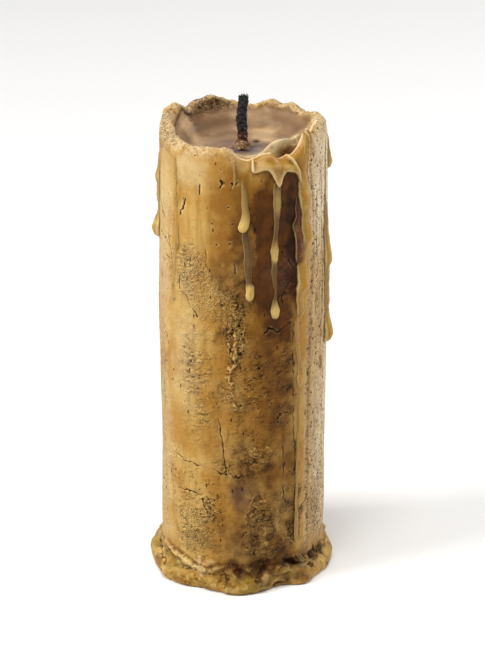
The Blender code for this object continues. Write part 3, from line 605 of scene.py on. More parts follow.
@dataclass
class Pillar:
    """The pillar of wax: its wall, the rim and its burn pool, the spilt lip and the foot.

    It is one surface, a section turned round the candle, with the relief laid on it along its normal.
    """

    detail: Detail
    wall_radius: float = 30.0
    mean_rim: float = 168.0
    foot_reach: float = 34.0
    flare_top: float = 11.0
    pool_height: float = 160.0
    bore_radius: float = 1.72
    crowding: float = 0.32
    panel_step: float = 0.45
    panel_end: float = 98.0
    foot_lifts: tuple[Lobe, ...] = lobes(
        (-90, 0.6, 24), (86, 0.3, 22), (180, 0.3, 30),
    )
    shoulder_drops: tuple[float, ...] = (0.05, 1.0, 2.9, 5.4)
    shoulder_insets: tuple[float, ...] = (2.5, 1.1, 0.35, 0.05)
    rim_lobes: tuple[Lobe, ...] = lobes(
        (-110, 5.2, 15), (-120, 1, 6), (-138, 0.8, 6), (-90, 1.1, 8), (-153, 3.9, 15), (180, 0.6, 12),
        (157, 2.4, 7), (139, 2.6, 9), (109, 2.8, 9), (75, 4.8, 17), (64, 1.1, 7), (88, 0.7, 6),
        (-42, -0.4, 20),
    )
    foot_lobes: tuple[Lobe, ...] = lobes(
        (-93, 0.3, 12), (-47, 2.4, 15), (-4, 2.6, 13), (26, -2, 8), (41, 2.1, 8), (80, -0.2, 10),
        (104, -1.2, 10), (135, 1.4, 14), (180, 2.6, 15), (-140, 1.2, 14),
    )
    lip_crest: tuple[tuple[float, float], ...] = (
        (-14, 168.4), (-8.6, 167.2), (-5.7, 166.2), (-1.4, 164.8), (2.9, 164.2), (6.4, 164.5), (10, 165.3),
        (14, 166), (19, 166.4), (21, 166.3), (23.5, 165), (26.7, 163.8), (30, 164.2), (34, 164.8),
        (38, 164.6), (42.5, 166), (45.5, 167.4), (48, 169.6), (51, 171.4), (56, 172.7),
    )
    lip_ridge: tuple[tuple[float, float], ...] = (
        (12, 163.8), (17, 165.8), (24, 167.7), (29, 168.8), (35, 169.3), (42, 169.2), (50, 168.5),
        (57, 168.6), (66, 168.8), (74, 168),
    )
    spill_edge: tuple[tuple[float, float], ...] = (
        (5.8, 161), (8.4, 160.4), (12.3, 161), (15, 161.3), (17.7, 160.9), (19.7, 159.5), (21.8, 157.3),
        (23.2, 155.4), (24.6, 154.4), (26.1, 155.4), (27.5, 158), (30.5, 159.6), (33.5, 159.4),
        (37.4, 158.7), (39.4, 157.6), (41.4, 154.5), (44, 151.5), (47, 152.5), (49.4, 158), (50.4, 164),
        (52, 170), (54, 174),
    )
    panel_edge: tuple[tuple[float, float], ...] = (
        (12, 52), (70, 52.5), (93, 54), (108, 55), (127, 57), (147, 56.5), (160, 52.5), (172, 54),
    )
    granular: tuple[Patch, ...] = patches(
        (-37, 122, 13, 9, 1.1), (-20, 112, 14, 7, 0.9), (-6, 106, 8, 6, 0.7), (-37, 20, 13, 9, 1),
        (-80, 168, 20, 5, 0.9), (-120, 60, 20, 18, 0.9), (150, 100, 20, 22, 0.8), (100, 40, 14, 18, 0.7),
        (-170, 140, 16, 12, 0.7),
    )
    flaky: tuple[Patch, ...] = patches(
        (-4, 96, 6, 16, 0.8), (-39, 86, 9, 13, 0.9), (14, 24, 13, 13, 0.8), (11, 52, 10, 6, 1),
        (-14, 78, 6, 5, 0.7), (-22, 31, 8, 6, 0.9), (36, 20, 5, 8, 0.9), (-34, 66, 12, 10, 0.5),
        (60, 24, 10, 10, 0.7), (-150, 40, 16, 16, 0.9), (112, 130, 12, 16, 0.8), (175, 30, 16, 14, 0.9),
        (-100, 110, 14, 20, 0.7),
    )
    slabs: tuple[Patch, ...] = patches(
        (15, 24, 13, 13, 1.1), (12, 52, 9, 5, 0.8), (-4, 97, 4, 14, 0.7), (-22, 31, 6, 5, 0.7),
        (112, 130, 10, 12, 0.8), (-150, 40, 14, 14, 0.8),
    )
    scratched: tuple[Patch, ...] = patches(
        (9, 81, 15, 11, 1.1), (18, 96, 8, 5, 0.6), (14, 24, 12, 13, 0.55), (120, 70, 16, 16, 0.9),
        (-150, 110, 16, 14, 0.8),
    )
    foot_lumps: tuple[Patch, ...] = patches(
        (24, 4.2, 10, 1.5, 1), (25, 1.3, 6, 1.1, -1.1), (36, 8, 5, 2.2, -1.3), (46, 6.2, 4, 1.6, 0.8),
        (57, 7.2, 3, 1.8, -0.9), (66, 7.5, 5, 1.2, -0.8), (62, 4.5, 6, 1.4, 0.6), (-8, 4.4, 7, 1.4, -0.8),
        (-19, 5.2, 5, 1.6, 0.7), (4, 6, 5, 1.4, 0.6), (-70, 5.2, 7, 1.6, 0.7), (-79, 7, 5, 1.4, -0.6),
        (110, 5, 8, 1.5, 0.8), (152, 6, 6, 1.6, -1), (-120, 5, 9, 1.5, 0.9),
        (-162, 6, 7, 1.6, -0.9),
    )

    def column_angles(self) -> np.ndarray:
        """The angles of the columns: t - k sin t, which is closest together at the front."""
        turn = np.linspace(-math.pi, math.pi, self.detail.value.columns, endpoint=False)
        return np.degrees(turn - self.crowding * np.sin(turn))

    def crest(self, angle: np.ndarray) -> np.ndarray:
        """The rim's height: the mean rim plus its lobes and small lumps, and the lip's own line."""
        turn = np.radians(angle)
        ring = self.wall_radius * np.stack([np.sin(turn), np.cos(turn), 0 * turn], axis=-1)
        lumps = 0.5 * Noise(61).layered(ring, 4.6)
        rim = self.mean_rim + sum(lobe.at(angle) for lobe in self.rim_lobes) + lumps
        lip = line_through(self.lip_crest, angle, 1.0)
        return mixed(rim, lip, ease(-17.0, -11.0, angle) * ease(60.0, 54.0, angle))

    def swell(self, angle: np.ndarray, height: np.ndarray) -> np.ndarray:
        """How the wall stands out of a true pillar: two sines that turn with the height, its forms,
        and the step up to the dry panel."""
        turn = np.radians(angle)
        slow = 0.25 * np.sin(2 * turn + height / 23) + 0.2 * np.sin(3 * turn - height / 37)
        edge = line_through(self.panel_edge, height, 1.5)
        panel = ease(-1.0, 1.0, angle - edge) * ease(self.panel_end, self.panel_end - 8.0, angle)
        panel = self.panel_step * panel * ease(6.0, 20.0, height)
        return slow + panel + sum(form.at(angle, height) for form in WALL_FORMS)

    def wall_at(self, angle: np.ndarray, height: np.ndarray) -> np.ndarray:
        """The wall's radius where a run lies on it: the swell, less the rounding of the shoulder."""
        inset = np.interp(self.crest(angle) - height, self.shoulder_drops, self.shoulder_insets)
        return self.wall_radius + self.swell(angle, height) - inset

    def stations(self, angle: np.ndarray) -> dict[Stop, tuple[np.ndarray, np.ndarray, float]]:
        """The section's points, each with the row spacing on the way to the next, as a multiple of
        the detail's own.

        Args:
            angle: The columns' angles.

        Returns:
            (radius, height, spacing) for each station.
        """
        radius = self.wall_radius
        crest = self.crest(angle)
        foot_reach = self.foot_reach + sum(lobe.at(angle) for lobe in self.foot_lobes)
        spread = np.clip(foot_reach - radius, 2.2, None)
        left = Lobe(-70, 1.0, 45).at(angle)
        curl = ease(9.0, 24.0, angle) * ease(72.0, 60.0, angle)
        over = Lobe(3, 1.0, 9).at(angle)
        far = ease(100.0, 140.0, np.abs(angle))
        ridge = line_through(self.lip_ridge, angle, 2.0)
        inner = 24.4 - 0.9 * left
        floor = self.pool_height
        pool_edge = np.minimum(floor + 5.2 + 0.6 * far, crest - 1.8 + 1.5 * over)
        bowl = pool_edge - floor
        tip, crest_out, rounding, shoulder = self.shoulder_drops
        tip_in, out_in, round_in, shoulder_in = self.shoulder_insets
        lift = sum(lobe.at(angle) for lobe in self.foot_lifts)

        def lifted(level: float) -> np.ndarray:
            """A height of the foot's section, raised where the foot is thicker."""
            return level * (1.0 + lift * (1.0 - (level / self.flare_top) ** 2))

        inside = {
            Stop.CREST_IN: ((25.7, crest - 0.25), (26.0, np.minimum(crest, ridge) - 1.2)),
            Stop.INNER_TOP: ((inner + 0.8, crest - 1.1 + 0.9 * over), (24.2, ridge - 1.7)),
            Stop.INNER_WALL: ((inner, mixed(crest - 1.1, pool_edge, 0.6)), (22.9, ridge - 0.1)),
            Stop.POOL_EDGE: ((inner - 0.9, pool_edge + 0.3), (21.6, ridge - 0.7)),
            Stop.POOL_RISE: ((inner - 2.8, pool_edge - 0.2 * bowl), (19.6, ridge - 2.6)),
            Stop.POOL_HIGH: ((0.82 * inner, floor + 0.45 * bowl), (17.0, floor + 3.4)),
            Stop.POOL_MID: ((0.62 * inner, floor + 0.19 * bowl), (13.8, floor + 1.5)),
        }
        spacings = (1.0, 1.0, 1.0, 1.0, 1.1, 1.3, 1.3)
        inside = {
            stop: (mixed(plain[0], lip[0], curl), mixed(plain[1], lip[1], curl), spacing)
            for (stop, (plain, lip)), spacing in zip(inside.items(), spacings)
        }
        plan = {
            Stop.BORE_FOOT: (self.bore_radius, 0.0, 8.0),
            Stop.SOLE_IN: (12.0, 0.0, 8.0),
            Stop.SOLE_OUT: (24.0, 0.0, 5.0),
            Stop.SOLE_EDGE: (radius + spread - 1.5, 0.0, 1.2),
            Stop.BEAD_LOW: (radius + spread - 0.35, lifted(0.5), 1.0),
            Stop.BEAD: (radius + spread, lifted(1.7), 1.0),
            Stop.BEAD_TOP: (radius + spread - 0.45, lifted(3.0), 1.0),
            Stop.STEP: (radius + 0.66 * spread, lifted(3.9), 1.0),
            Stop.DIP: (radius + 0.42 * spread, lifted(4.6), 1.0),
            Stop.FOLD: (radius + 0.9, lifted(6.4), 1.0),
            Stop.CREASE: (radius + 0.35, lifted(8.4), 1.0),
            Stop.WALL_FOOT: (radius, self.flare_top, 1.0),
            Stop.WALL_LOW: (radius, self.flare_top + 4.0, 1.0),
            Stop.WALL_TOP: (radius, crest - 12.0, 1.0),
            Stop.SHOULDER: (radius - shoulder_in, crest - shoulder, 1.0),
            Stop.ROUND: (radius - round_in, crest - rounding, 1.0),
            Stop.CREST_OUT: (radius - out_in, crest - crest_out, 1.0),
            Stop.CREST: (radius - tip_in, crest - tip, 1.0),
            **inside,
            Stop.POOL_LOW: (0.44 * inner, floor + 0.07 * bowl, 1.3),
            Stop.POOL_FLOOR: (6.6, floor + 0.02 * bowl, 1.2),
            Stop.COLLAR_FOOT: (3.7, floor + 0.15, 1.0),
            Stop.COLLAR: (2.75, floor + 1.0, 1.0),
            Stop.COLLAR_TOP: (2.2, floor + 2.3, 1.0),
            Stop.BORE_TOP: (self.bore_radius, floor + 3.3, 12.0),
            Stop.BORE_LOW: (self.bore_radius, floor - 6.0, 40.0),
        }
        zero = np.zeros_like(angle)
        return {stop: (away + zero, level + zero, spacing) for stop, (away, level, spacing) in plan.items()}

    def section(self, angle: np.ndarray) -> tuple[np.ndarray, np.ndarray]:
        """The section's rows: a curve through the stations. Its slope at a station is the mean of
        the slopes on both sides, each weighted by the other side's length, and a cubic joins them.
        The underside and the bore keep straight lines.

        Args:
            angle: The columns' angles.

        Returns:
            Rows of (radius, height), and for each row its place, counted in stations.
        """
        stations = self.stations(angle)
        points = np.stack([np.stack([radius, height], axis=-1) for radius, height, _ in stations.values()])
        steps = np.diff(points, axis=0)
        lengths = np.linalg.norm(steps, axis=-1, keepdims=True)
        slopes = steps / lengths
        before, after = lengths[:-1], lengths[1:]
        inner = (slopes[:-1] * after + slopes[1:] * before) / (before + after)
        tangents = np.concatenate([slopes[:1], inner, slopes[-1:]])
        rows, places = [], []
        straight = (Stop.BORE_FOOT, Stop.SOLE_IN, Stop.SOLE_OUT, Stop.BORE_TOP)
        for stop in list(Stop)[:-1]:
            spacing = self.detail.value.row_spacing * stations[stop][2]
            count = max(2, round(float(lengths[stop].mean()) / spacing))
            share = (np.arange(count) / count)[:, None, None]
            start, end = points[stop], points[stop + 1]
            if stop in straight:
                rows.append(mixed(start, end, share))
            else:
                cubic = (2 * share**3 - 3 * share**2 + 1) * start
                cubic = cubic + (share**3 - 2 * share**2 + share) * lengths[stop] * tangents[stop]
                cubic = cubic + (3 * share**2 - 2 * share**3) * end
                cubic = cubic + (share**3 - share**2) * lengths[stop] * tangents[stop + 1]
                rows.append(cubic)
            places.append(stop + share[:, 0, 0])
        rows.append(points[-1:])
        places.append(np.array([float(Stop.BORE_LOW)]))
        return np.concatenate(rows), np.concatenate(places)

    def spill_at(self, angle: np.ndarray, height: np.ndarray) -> np.ndarray:
        """How far the sheet of spilt wax stands out: nothing below its scalloped edge, rounded along
        it and thinner above, with a strand down its left side, a roll across it, and a fold that
        slants down to the long run.

        Args:
            angle: Angle of each point.
            height: Height of each point.

        Returns:
            Millimetres over the wall.
        """
        over = height - line_through(self.spill_edge, angle, 0.7)
        front = np.sqrt(held(1.0 - (1.0 - over / 0.9) ** 2))
        front = np.where(over < 0.9, front, 1.0) * (over > 0)
        strand = 0.6 * bell((angle - 6.9) / 0.75)
        roll = 0.35 * bell((height - 162.4 + 0.09 * (angle - 21.0)) / 0.9)
        roll = roll * ease(9.0, 15.0, angle) * ease(40.0, 34.0, angle)
        across = np.radians(angle - 32.7) * self.wall_radius
        away = (3.9 * (height - 165.6) + 6.3 * across) / 7.4
        fold = 0.75 * bell(away / 0.65) * ease(28.0, 31.0, angle) * ease(43.0, 40.0, angle)
        tip = 0.45 * bell((angle - 24.6) / 2.4) * ease(160.0, 156.5, height)
        sides = ease(5.3, 6.5, angle) * ease(54.0, 52.0, angle)
        return front * (0.95 - 0.4 * ease(1.0, 4.0, over) + strand + roll + fold + tip) * sides

    @staticmethod
    def creases(seed: int, points: np.ndarray, size: float) -> np.ndarray:
        """Crumpled wax: 1 along the thin wandering creases where noise passes 0, 0 between them."""
        return bell(Noise(seed).at(points, size) / 0.17)

    def relief(self, angle: np.ndarray, base: np.ndarray, place: np.ndarray) -> dict[str, np.ndarray]:
        """What lies on the plain section, as a distance along its normal, and the masks that the
        finish is painted by.

        Args:
            angle: Angle of each point of the grid, in degrees.
            base: The plain section's points, in millimetres.
            place: Each point's place in the section, counted in stations.

        Returns:
            The relief, in millimetres, and each mask, from 0 to 1.
        """
        x, y, height = np.moveaxis(base, -1, 0)
        radius = np.hypot(x, y)
        flat = self.wall_radius
        girth = math.tau * flat
        drift = Noise(11).layered(base, 7.0)
        drift_up = Noise(17).layered(base, 7.0)
        shift = Noise(31).layered(base, 2.6)
        shift_up = Noise(37).layered(base, 2.6)
        medium = Noise(5).at(base, 4.2)
        fine = Noise(7).at(base, 1.3)
        finest = Noise(9).at(base, 0.75)
        across = np.radians(angle) * flat
        wall = Wall(flat, height, across, shift, shift_up, medium)
        ragged = (angle + 5.0 * drift + 2.0 * shift, height + 3.0 * drift_up + 1.0 * shift_up)

        def cover(area: tuple[Patch, ...]) -> np.ndarray:
            """The most that any of the area's patches covers each point, with ragged edges."""
            return np.max([patch.at(*ragged) for patch in area], axis=0)

        on_foot = ease(3.1, 4.2, place) * ease(Stop.WALL_FOOT + 0.3, Stop.CREASE - 0.3, place)
        on_wall = ease(Stop.FOLD + 0.6, Stop.WALL_FOOT + 0.1, place)
        on_wall = on_wall * ease(Stop.CREST + 0.4, Stop.CREST_OUT, place)
        lip_side = ease(-9.0, 1.0, angle) * ease(72.0, 58.0, angle)
        far_side = ease(95.0, 120.0, np.abs(angle))
        pool_start = place + 0.2 * shift + 0.5 * far_side - 1.2 * Lobe(-152, 1.0, 22).at(angle)
        on_rim = ease(Stop.SHOULDER + 0.3, Stop.CREST_OUT + 0.1, place)
        on_rim = on_rim * ease(Stop.INNER_WALL + 0.5, Stop.INNER_TOP + 0.1, pool_start)
        on_pool = ease(Stop.INNER_TOP, Stop.INNER_WALL + 0.2, pool_start)

        # The wall: its areas, then its texture and the marks in it.
        granular = held(cover(self.granular)) * on_wall
        granular = ease(0.15, 0.5, granular + 0.2 * shift * (granular > 0.02))
        flaky = held(cover(self.flaky)) * on_wall
        scratched = cover(self.scratched) * on_wall
        edge = line_through(self.panel_edge, height, 1.5)
        panel = ease(-0.3, 0.3, np.radians(angle - edge) * flat + 0.25 * drift)
        panel_end = ease(104.0, 92.0, angle)
        panel_foot = ease(6.0, 20.0, height)
        panel = panel * panel_end * on_wall * panel_foot
        dry = ease(-0.3, 0.3, np.radians(angle - edge + 4.5) * flat + 0.3 * drift)
        dry = dry * panel_end * on_wall * panel_foot

        ribs = Noise(13).layered(base * (1.0, 1.0, 0.07), 4.6, 2)
        wide_creases = self.creases(19, base * (0.6, 0.6, 1.2) + 0.5 * shift[..., None], 2.7)
        fine_creases = self.creases(21, base * (0.7, 0.7, 1.3) + 0.4 * shift_up[..., None], 1.6)
        slab = ease(0.42, 0.56, cover(self.slabs) + 0.2 * shift) * on_wall
        crumbs = Marks(79, 1.15, 0.42, 0.34, 0.75).at(across + 0.2 * fine, height, girth)
        scratches = Marks(71, 1.7, 1.5, 0.2, 0.75, 2.0, 16.0).at(across, height + 0.4 * shift, girth)
        chips = Marks(73, 1.6, 0.75, 0.3, 0.6, 65.0, 60.0).at(across, height, girth)
        pits = Marks(23, 6.6, 0.45, 0.32, 0.3).at(across + 0.4 * shift, height + 0.4 * shift_up, girth)
        pits = pits * (1.0 - 0.8 * lip_side * ease(100.0, 120.0, height))
        for pit_angle, pit_height, pit_radius in PITS:
            away = np.hypot(np.radians(turned(angle, pit_angle)) * flat, height - pit_height)
            pits = np.maximum(pits, 1.0 - ((away + 0.12 * shift) / pit_radius) ** 2)
        specks = Marks(29, 1.9, 0.3, 0.22, 0.4).at(across, height, girth)
        specks = specks * held(0.12 + 0.5 * granular + panel + 0.6 * flaky)
        dents = Marks(83, 8.0, 3.2, 2.0, 0.45).at(across, height, girth)
        cracks = np.sum([line.depth_at(wall) for line in LINES], axis=0) * on_wall

        relief = 0.13 * ribs + 0.07 * medium + 0.03 * fine - 0.14 * dents
        relief = relief + granular * (0.04 * fine + 0.04 * finest - 0.08 * crumbs + 0.06)
        relief = relief + flaky * (0.12 * medium + 0.08 * fine - 0.2 * wide_creases - 0.14 * fine_creases)
        relief = relief + 0.30 * slab - 0.16 * flaky * chips - 0.20 * scratched * scratches
        relief = relief + 0.05 * panel + dry * (0.08 * fine + 0.06 * finest)
        relief = relief - 0.5 * pits - 0.25 * specks - cracks

        # The spilt sheet, and the wall beside the runs, which is darkened as painted shade, more beside the
        # stained runs.
        spill = self.spill_at(angle, height) * ease(Stop.CREST_IN + 0.2, Stop.CREST_OUT + 0.3, place)
        spill = spill * (1.0 + 0.06 * medium) * (1.0 - 0.5 * ease(Stop.CREST_OUT, Stop.CREST, place))
        smooth = np.maximum(ease(0.0, 0.4, spill), lip_side * ease(Stop.ROUND, Stop.CREST, place))
        beside = [(0.2 + 0.8 * run.stain) * run.beside(angle, height, flat) for run in RUNS]
        beside = np.max(beside, axis=0) * on_wall

        # The foot.
        crumbly = ease(-0.2, 0.4, drift + medium)
        lumps = 0.34 * Noise(41).layered(base, 6.0, 2) + crumbly * (0.16 * fine + 0.08 * finest)
        lumps = lumps + sum(patch.at(angle + 2.0 * drift, height + 0.5 * shift) for patch in self.foot_lumps)
        folds = np.sum([line.depth_at(wall) for line in FOLDS], axis=0)
        wander = place + 0.3 * drift
        crease = 0.25 * bell((wander - Stop.CREASE - 0.2) / 0.3)
        foot = lumps - 1.2 * folds - crease

        # The rim and the lip.
        rough = held(1.0 - 1.1 * lip_side) * on_rim
        rim_crumbs = Marks(89, 2.1, 0.5, 0.36, 0.5).at(across, radius, girth)
        knobs = Noise(43).at(base, 2.3)
        rim = rough * (0.65 * medium + 0.3 * knobs + 0.2 * fine + 0.06 * finest - 0.2 * rim_crumbs)
        past_crest = ease(Stop.CREST - 0.2, Stop.CREST + 0.3, place)
        pocket = spot((angle - 39.5) / 7.5, (radius - 25.6) / 0.95, 1.4) * past_crest
        hole = spot((x - 11.2) / 0.8, (y - 20.9) / 0.8) * on_rim
        under_peak = Lobe(-150, 1.0, 22).at(angle) * bell((place - Stop.INNER_TOP - 0.3) / 1.0)
        corner = ease(2.0, -12.0, angle) * ease(-150.0, -120.0, angle)
        corner = corner * bell((pool_start - Stop.INNER_WALL + 0.15) / 0.3)

        # The pool.
        calm_pool = ease(Stop.COLLAR_FOOT + 0.6, Stop.POOL_FLOOR, place)
        ripple = np.sin(math.tau * radius / 2.3 + 1.6 * drift) * ease(7.0, 10.0, radius)
        ripple = ripple * ease(21.0, 17.0, radius) * (0.25 + Lobe(70, 1.0, 60).at(angle))
        pool = 0.2 * drift * calm_pool + 0.1 * ripple * calm_pool
        band = 0.5 + 0.5 * np.sin(math.tau * radius / 6.4 + 1.7 * drift + 0.02 * angle)
        # Dark spots at the wick's foot: a crumb behind it, and in front a crevice line darkened as painted
        # shade.
        crumb_behind = spot((x - 5.0) / 0.95, (y - 7.8) / 1.1875)
        speck = np.maximum(crumb_behind, spot((x - 0.3) / 1.9, (y + 3.7) / 0.55, 2.0))

        # All of it together.
        bare = 1.0 - smooth
        total = relief * on_wall * bare * (1.0 - 0.85 * on_rim * lip_side)
        total = total + self.swell(angle, height) * ease(Stop.CREASE, Stop.WALL_FOOT, place)
        total = total + spill + foot * on_foot + rim - 1.3 * pocket - 1.4 * hole
        total = total - 0.4 * under_peak - 0.35 * corner + pool * on_pool - 0.7 * speck * on_pool
        total = total * ease(3.0, 3.6, place) * ease(Stop.BORE_TOP, Stop.BORE_TOP - 0.5, place)

        # What the finish is painted by.
        hollow, fine_hollow = self.hollowness(total, 1.2), self.hollowness(total, 0.5)
        # Sunk places, which the finish darkens as painted shade in the hollows.
        sunk = np.maximum(ease(0.03, 0.26, hollow), ease(0.02, 0.12, fine_hollow)) * (1.0 - 0.7 * granular)
        # Raised places, which the finish lays paler, partly as worn edges and partly as painted highlight.
        raised = np.maximum(ease(0.08, 0.35, -hollow), ease(0.04, 0.16, -fine_hollow))
        raised = raised * (1.0 - 0.7 * granular)
        # The foot's hollows at a wider reach: they are darkened as painted shade, and the tops of its lumps
        # count as raised places.
        foot_hollow = self.hollowness(total, 2.4) * on_foot
        raised = np.maximum(raised, 0.7 * ease(0.15, 0.7, -foot_hollow))
        # Grime and painted shade: dark at the foot, in its crevices and where the wall meets it, and in the
        # strip beside the long run.
        grime_and_shade = cover(GRIME_AND_SHADE) * (on_foot + on_wall) * ease(-0.4, 0.3, medium + 0.3 * fine)
        marks = np.max([pits, 0.8 * specks, ease(0.06, 0.28, cracks), 0.6 * scratched * scratches], axis=0)
        marks = np.maximum(marks, flaky * np.maximum(0.4 * wide_creases, 0.3 * fine_creases))
        wick_away = np.hypot((x + 0.8) / 1.3, y + 1.6)
        # A painted highlight: a pale line along the crest and, weaker, along the brow of the lip's ridge.
        painted_edge_highlight = bell((place + 0.1 * medium - Stop.CREST) / 0.22) * ease(-9.0, -3.0, angle)
        painted_edge_highlight = painted_edge_highlight * ease(82.0, 72.0, angle)
        brow = bell((place - Stop.INNER_WALL) / 0.3) * ease(14.0, 26.0, angle) * ease(62.0, 52.0, angle)
        painted_edge_highlight = np.maximum(painted_edge_highlight, 0.55 * brow)
        tongue = ease(12.0, 26.0, angle) * ease(80.0, 60.0, angle)
        tongue = tongue * ease(Stop.CREST + 0.6, Stop.CREST_IN + 0.4, place)
        beach = Lobe(14, 1.0, 26).at(angle) * ease(13.0, 19.0, radius)
        golden_side = Lobe(-15, 1.0, 12).at(angle) * ease(Stop.CREST + 0.2, Stop.CREST_OUT, place)
        gold = spot((angle - 36.0) / 11.0, (radius - 25.9) / 1.2, 1.3)
        return {
            "relief": total,
            "hollow": gold * past_crest,
            "fresh": smooth * (1.0 - on_pool) * (1.0 - 0.85 * tongue),
            "thick": held(spill / 1.5),
            "painted_edge_highlight": painted_edge_highlight,
            "panel": dry * held(bare + ease(57.0, 62.0, angle)),
            "granular": held(granular + 0.12 * rough) * bare,
            "worn": held(cover(WORN)) * on_wall * bare + (0.1 + 0.45 * crumbly) * on_foot,
            "moss": held(cover(MOSS)) * on_foot,
            "sunk": sunk * ease(3.2, 4.0, place),
            "raised": raised * (1.0 - 0.3 * smooth) * (1.0 - on_pool),
            "pool": on_pool,
            "band": band * on_pool,
            "rim": held(rough + 0.4 * on_rim * lip_side) * (1.0 - 0.8 * golden_side),
            "foot": on_foot,
            "amber": held(cover(AMBER)) * (1.0 - on_pool),
            "brown": np.clip(cover(BROWN), 0.0, 1.6) * (on_wall + on_foot) * (1.0 - on_rim),
            "singed": held(cover(SINGED)) * held(on_rim + on_pool),
            "chalk": held(cover(CHALK)) * (1.0 - on_pool),
            "bloom": held(cover(BLOOM)) * (1.0 - on_pool),
            "beach": held(beach + 1.2 * tongue) * np.maximum(on_pool, tongue),
            "collar": ease(Stop.COLLAR_FOOT - 0.1, Stop.COLLAR_FOOT + 0.9, place),
            "shade": held(0.7 * under_peak + 0.5 * ease(0.45, 0.9, pocket) + 0.5 * corner),
            # Dark marks, grit, grime and the rim's hole, with painted shade in the foot's hollows, in the
            # crevice at the wick's foot and beside the runs.
            "dirt_and_shade": held(
                marks * bare
                + grime_and_shade
                + 0.42 * ease(0.15, 0.8, foot_hollow)
                + 0.9 * hole
                + 0.45 * rim_crumbs * rough
                + 1.6 * speck * on_pool
                + 0.3 * beside * bare
            ),
            "soot": np.exp(-((wick_away / 8.6) ** 3)) * on_pool,
        }

    def hollowness(self, relief: np.ndarray, distance: float) -> np.ndarray:
        """How far each point lies below the mean of its four neighbours at a distance."""
        reach = max(1, round(distance / self.detail.value.row_spacing))
        around = sum(np.roll(relief, step, axis=1) for step in (-reach, reach))
        padded = np.pad(relief, ((reach, reach), (0, 0)), mode="edge")
        around = (around + padded[2 * reach :] + padded[: -2 * reach]) / 4.0
        return around - relief

    def mesh(self) -> bpy.types.Mesh:
        """The pillar's mesh: the section turned round the candle, the relief added along its normal,
        and flat stretches thinned to the triangles that the detail keeps.

        Returns:
            The mesh, with a named mask for each thing that the finish is painted by.
        """
        columns = self.column_angles()
        rows, places = self.section(columns)
        angle = np.broadcast_to(columns, rows.shape[:2])
        turn = np.radians(angle)
        out = round_axis(turn, 1.0, 0.0)
        up = np.array([0.0, 0.0, 1.0])
        base = out * rows[..., :1] + up * rows[..., 1:]
        along = np.gradient(rows, axis=0)
        along = along / np.linalg.norm(along, axis=-1, keepdims=True)
        for _ in range(3):
            along[1:-1] = (along[:-2] + along[1:-1] + along[2:]) / 3.0
        normal = out * along[..., 1:] - up * along[..., :1]
        normal = normal / np.linalg.norm(normal, axis=-1, keepdims=True)
        place = np.broadcast_to(places[:, None], angle.shape)
        masks = self.relief(angle, base, place)
        points = base + normal * masks.pop("relief")[..., None]
        points[..., 2] = np.maximum(points[..., 2], 0.0)
        mesh = grid_mesh("pillar_full", [points], looped=True)
        add_masks(mesh, masks)
        return thinned(mesh, self.detail.value.triangles)


@dataclass
class Runs:
    """The runs of wax on the pillar's wall, each a closed tube that is sunk into the wall."""

    pillar: Pillar
    runs: tuple[Run, ...] = RUNS
    sides: int = 26
    sunk_depth: float = 0.5

    def tube(self, run: Run) -> tuple[np.ndarray, dict[str, np.ndarray]]:
        """One run's surface. Round it, with u the turn, the run reaches half_width cos u across the
        wall and stands out depth (sin u)^0.85, and its hidden half is a flat arc in the wall. Noise
        of 2.4 mm makes the outer half uneven.

        Args:
            run: The run.

        Returns:
            Its points, rows by sides by x, y and z, and the masks that the finish is painted by.
        """
        spacing = self.pillar.detail.value.run_spacing
        top, foot = run.rows[0][0], run.rows[-1][0]
        height = np.linspace(foot, top, max(12, round((top - foot) / spacing)))
        centre, half_width, depth = run.sizes(height)
        turn = np.linspace(0.0, math.tau, self.sides, endpoint=False)[None, :]
        outer = held(np.sin(turn))
        hidden = held(-np.sin(turn))
        close = (half_width / half_width.max())[:, None]
        out = depth[:, None] * outer**0.85 - self.sunk_depth * hidden * np.sqrt(held(2 * close))
        across = half_width[:, None] * np.cos(turn)
        wall = self.pillar.wall_at(centre, height)[:, None]
        angle = np.radians(centre)[:, None] + across / wall
        flat = round_axis(angle, wall, height[:, None])
        lumps = Noise(43).layered(flat, 2.4, 2)
        out = out + 0.16 * lumps * outer * np.minimum(depth[:, None], 1.0)
        points = flat + round_axis(angle, 1.0, 0.0) * out[..., None]
        thick = held(depth[:, None] / 2.1) * (0.35 + 0.65 * outer)
        masks = {"thick": thick, "edge": 1.0 - outer + 0 * out}
        masks |= {"stain": np.full(out.shape, run.stain), "clear": np.full(out.shape, run.clear)}
        return points, masks

    def mesh(self) -> bpy.types.Mesh:
        """All the runs in one mesh, with its masks."""
        tubes = [self.tube(run) for run in self.runs]
        mesh = grid_mesh("runs_full", [points for points, _ in tubes], looped=False)
        names = tubes[0][1]
        add_masks(mesh, {name: np.concatenate([masks[name].ravel() for _, masks in tubes]) for name in names})
        return mesh


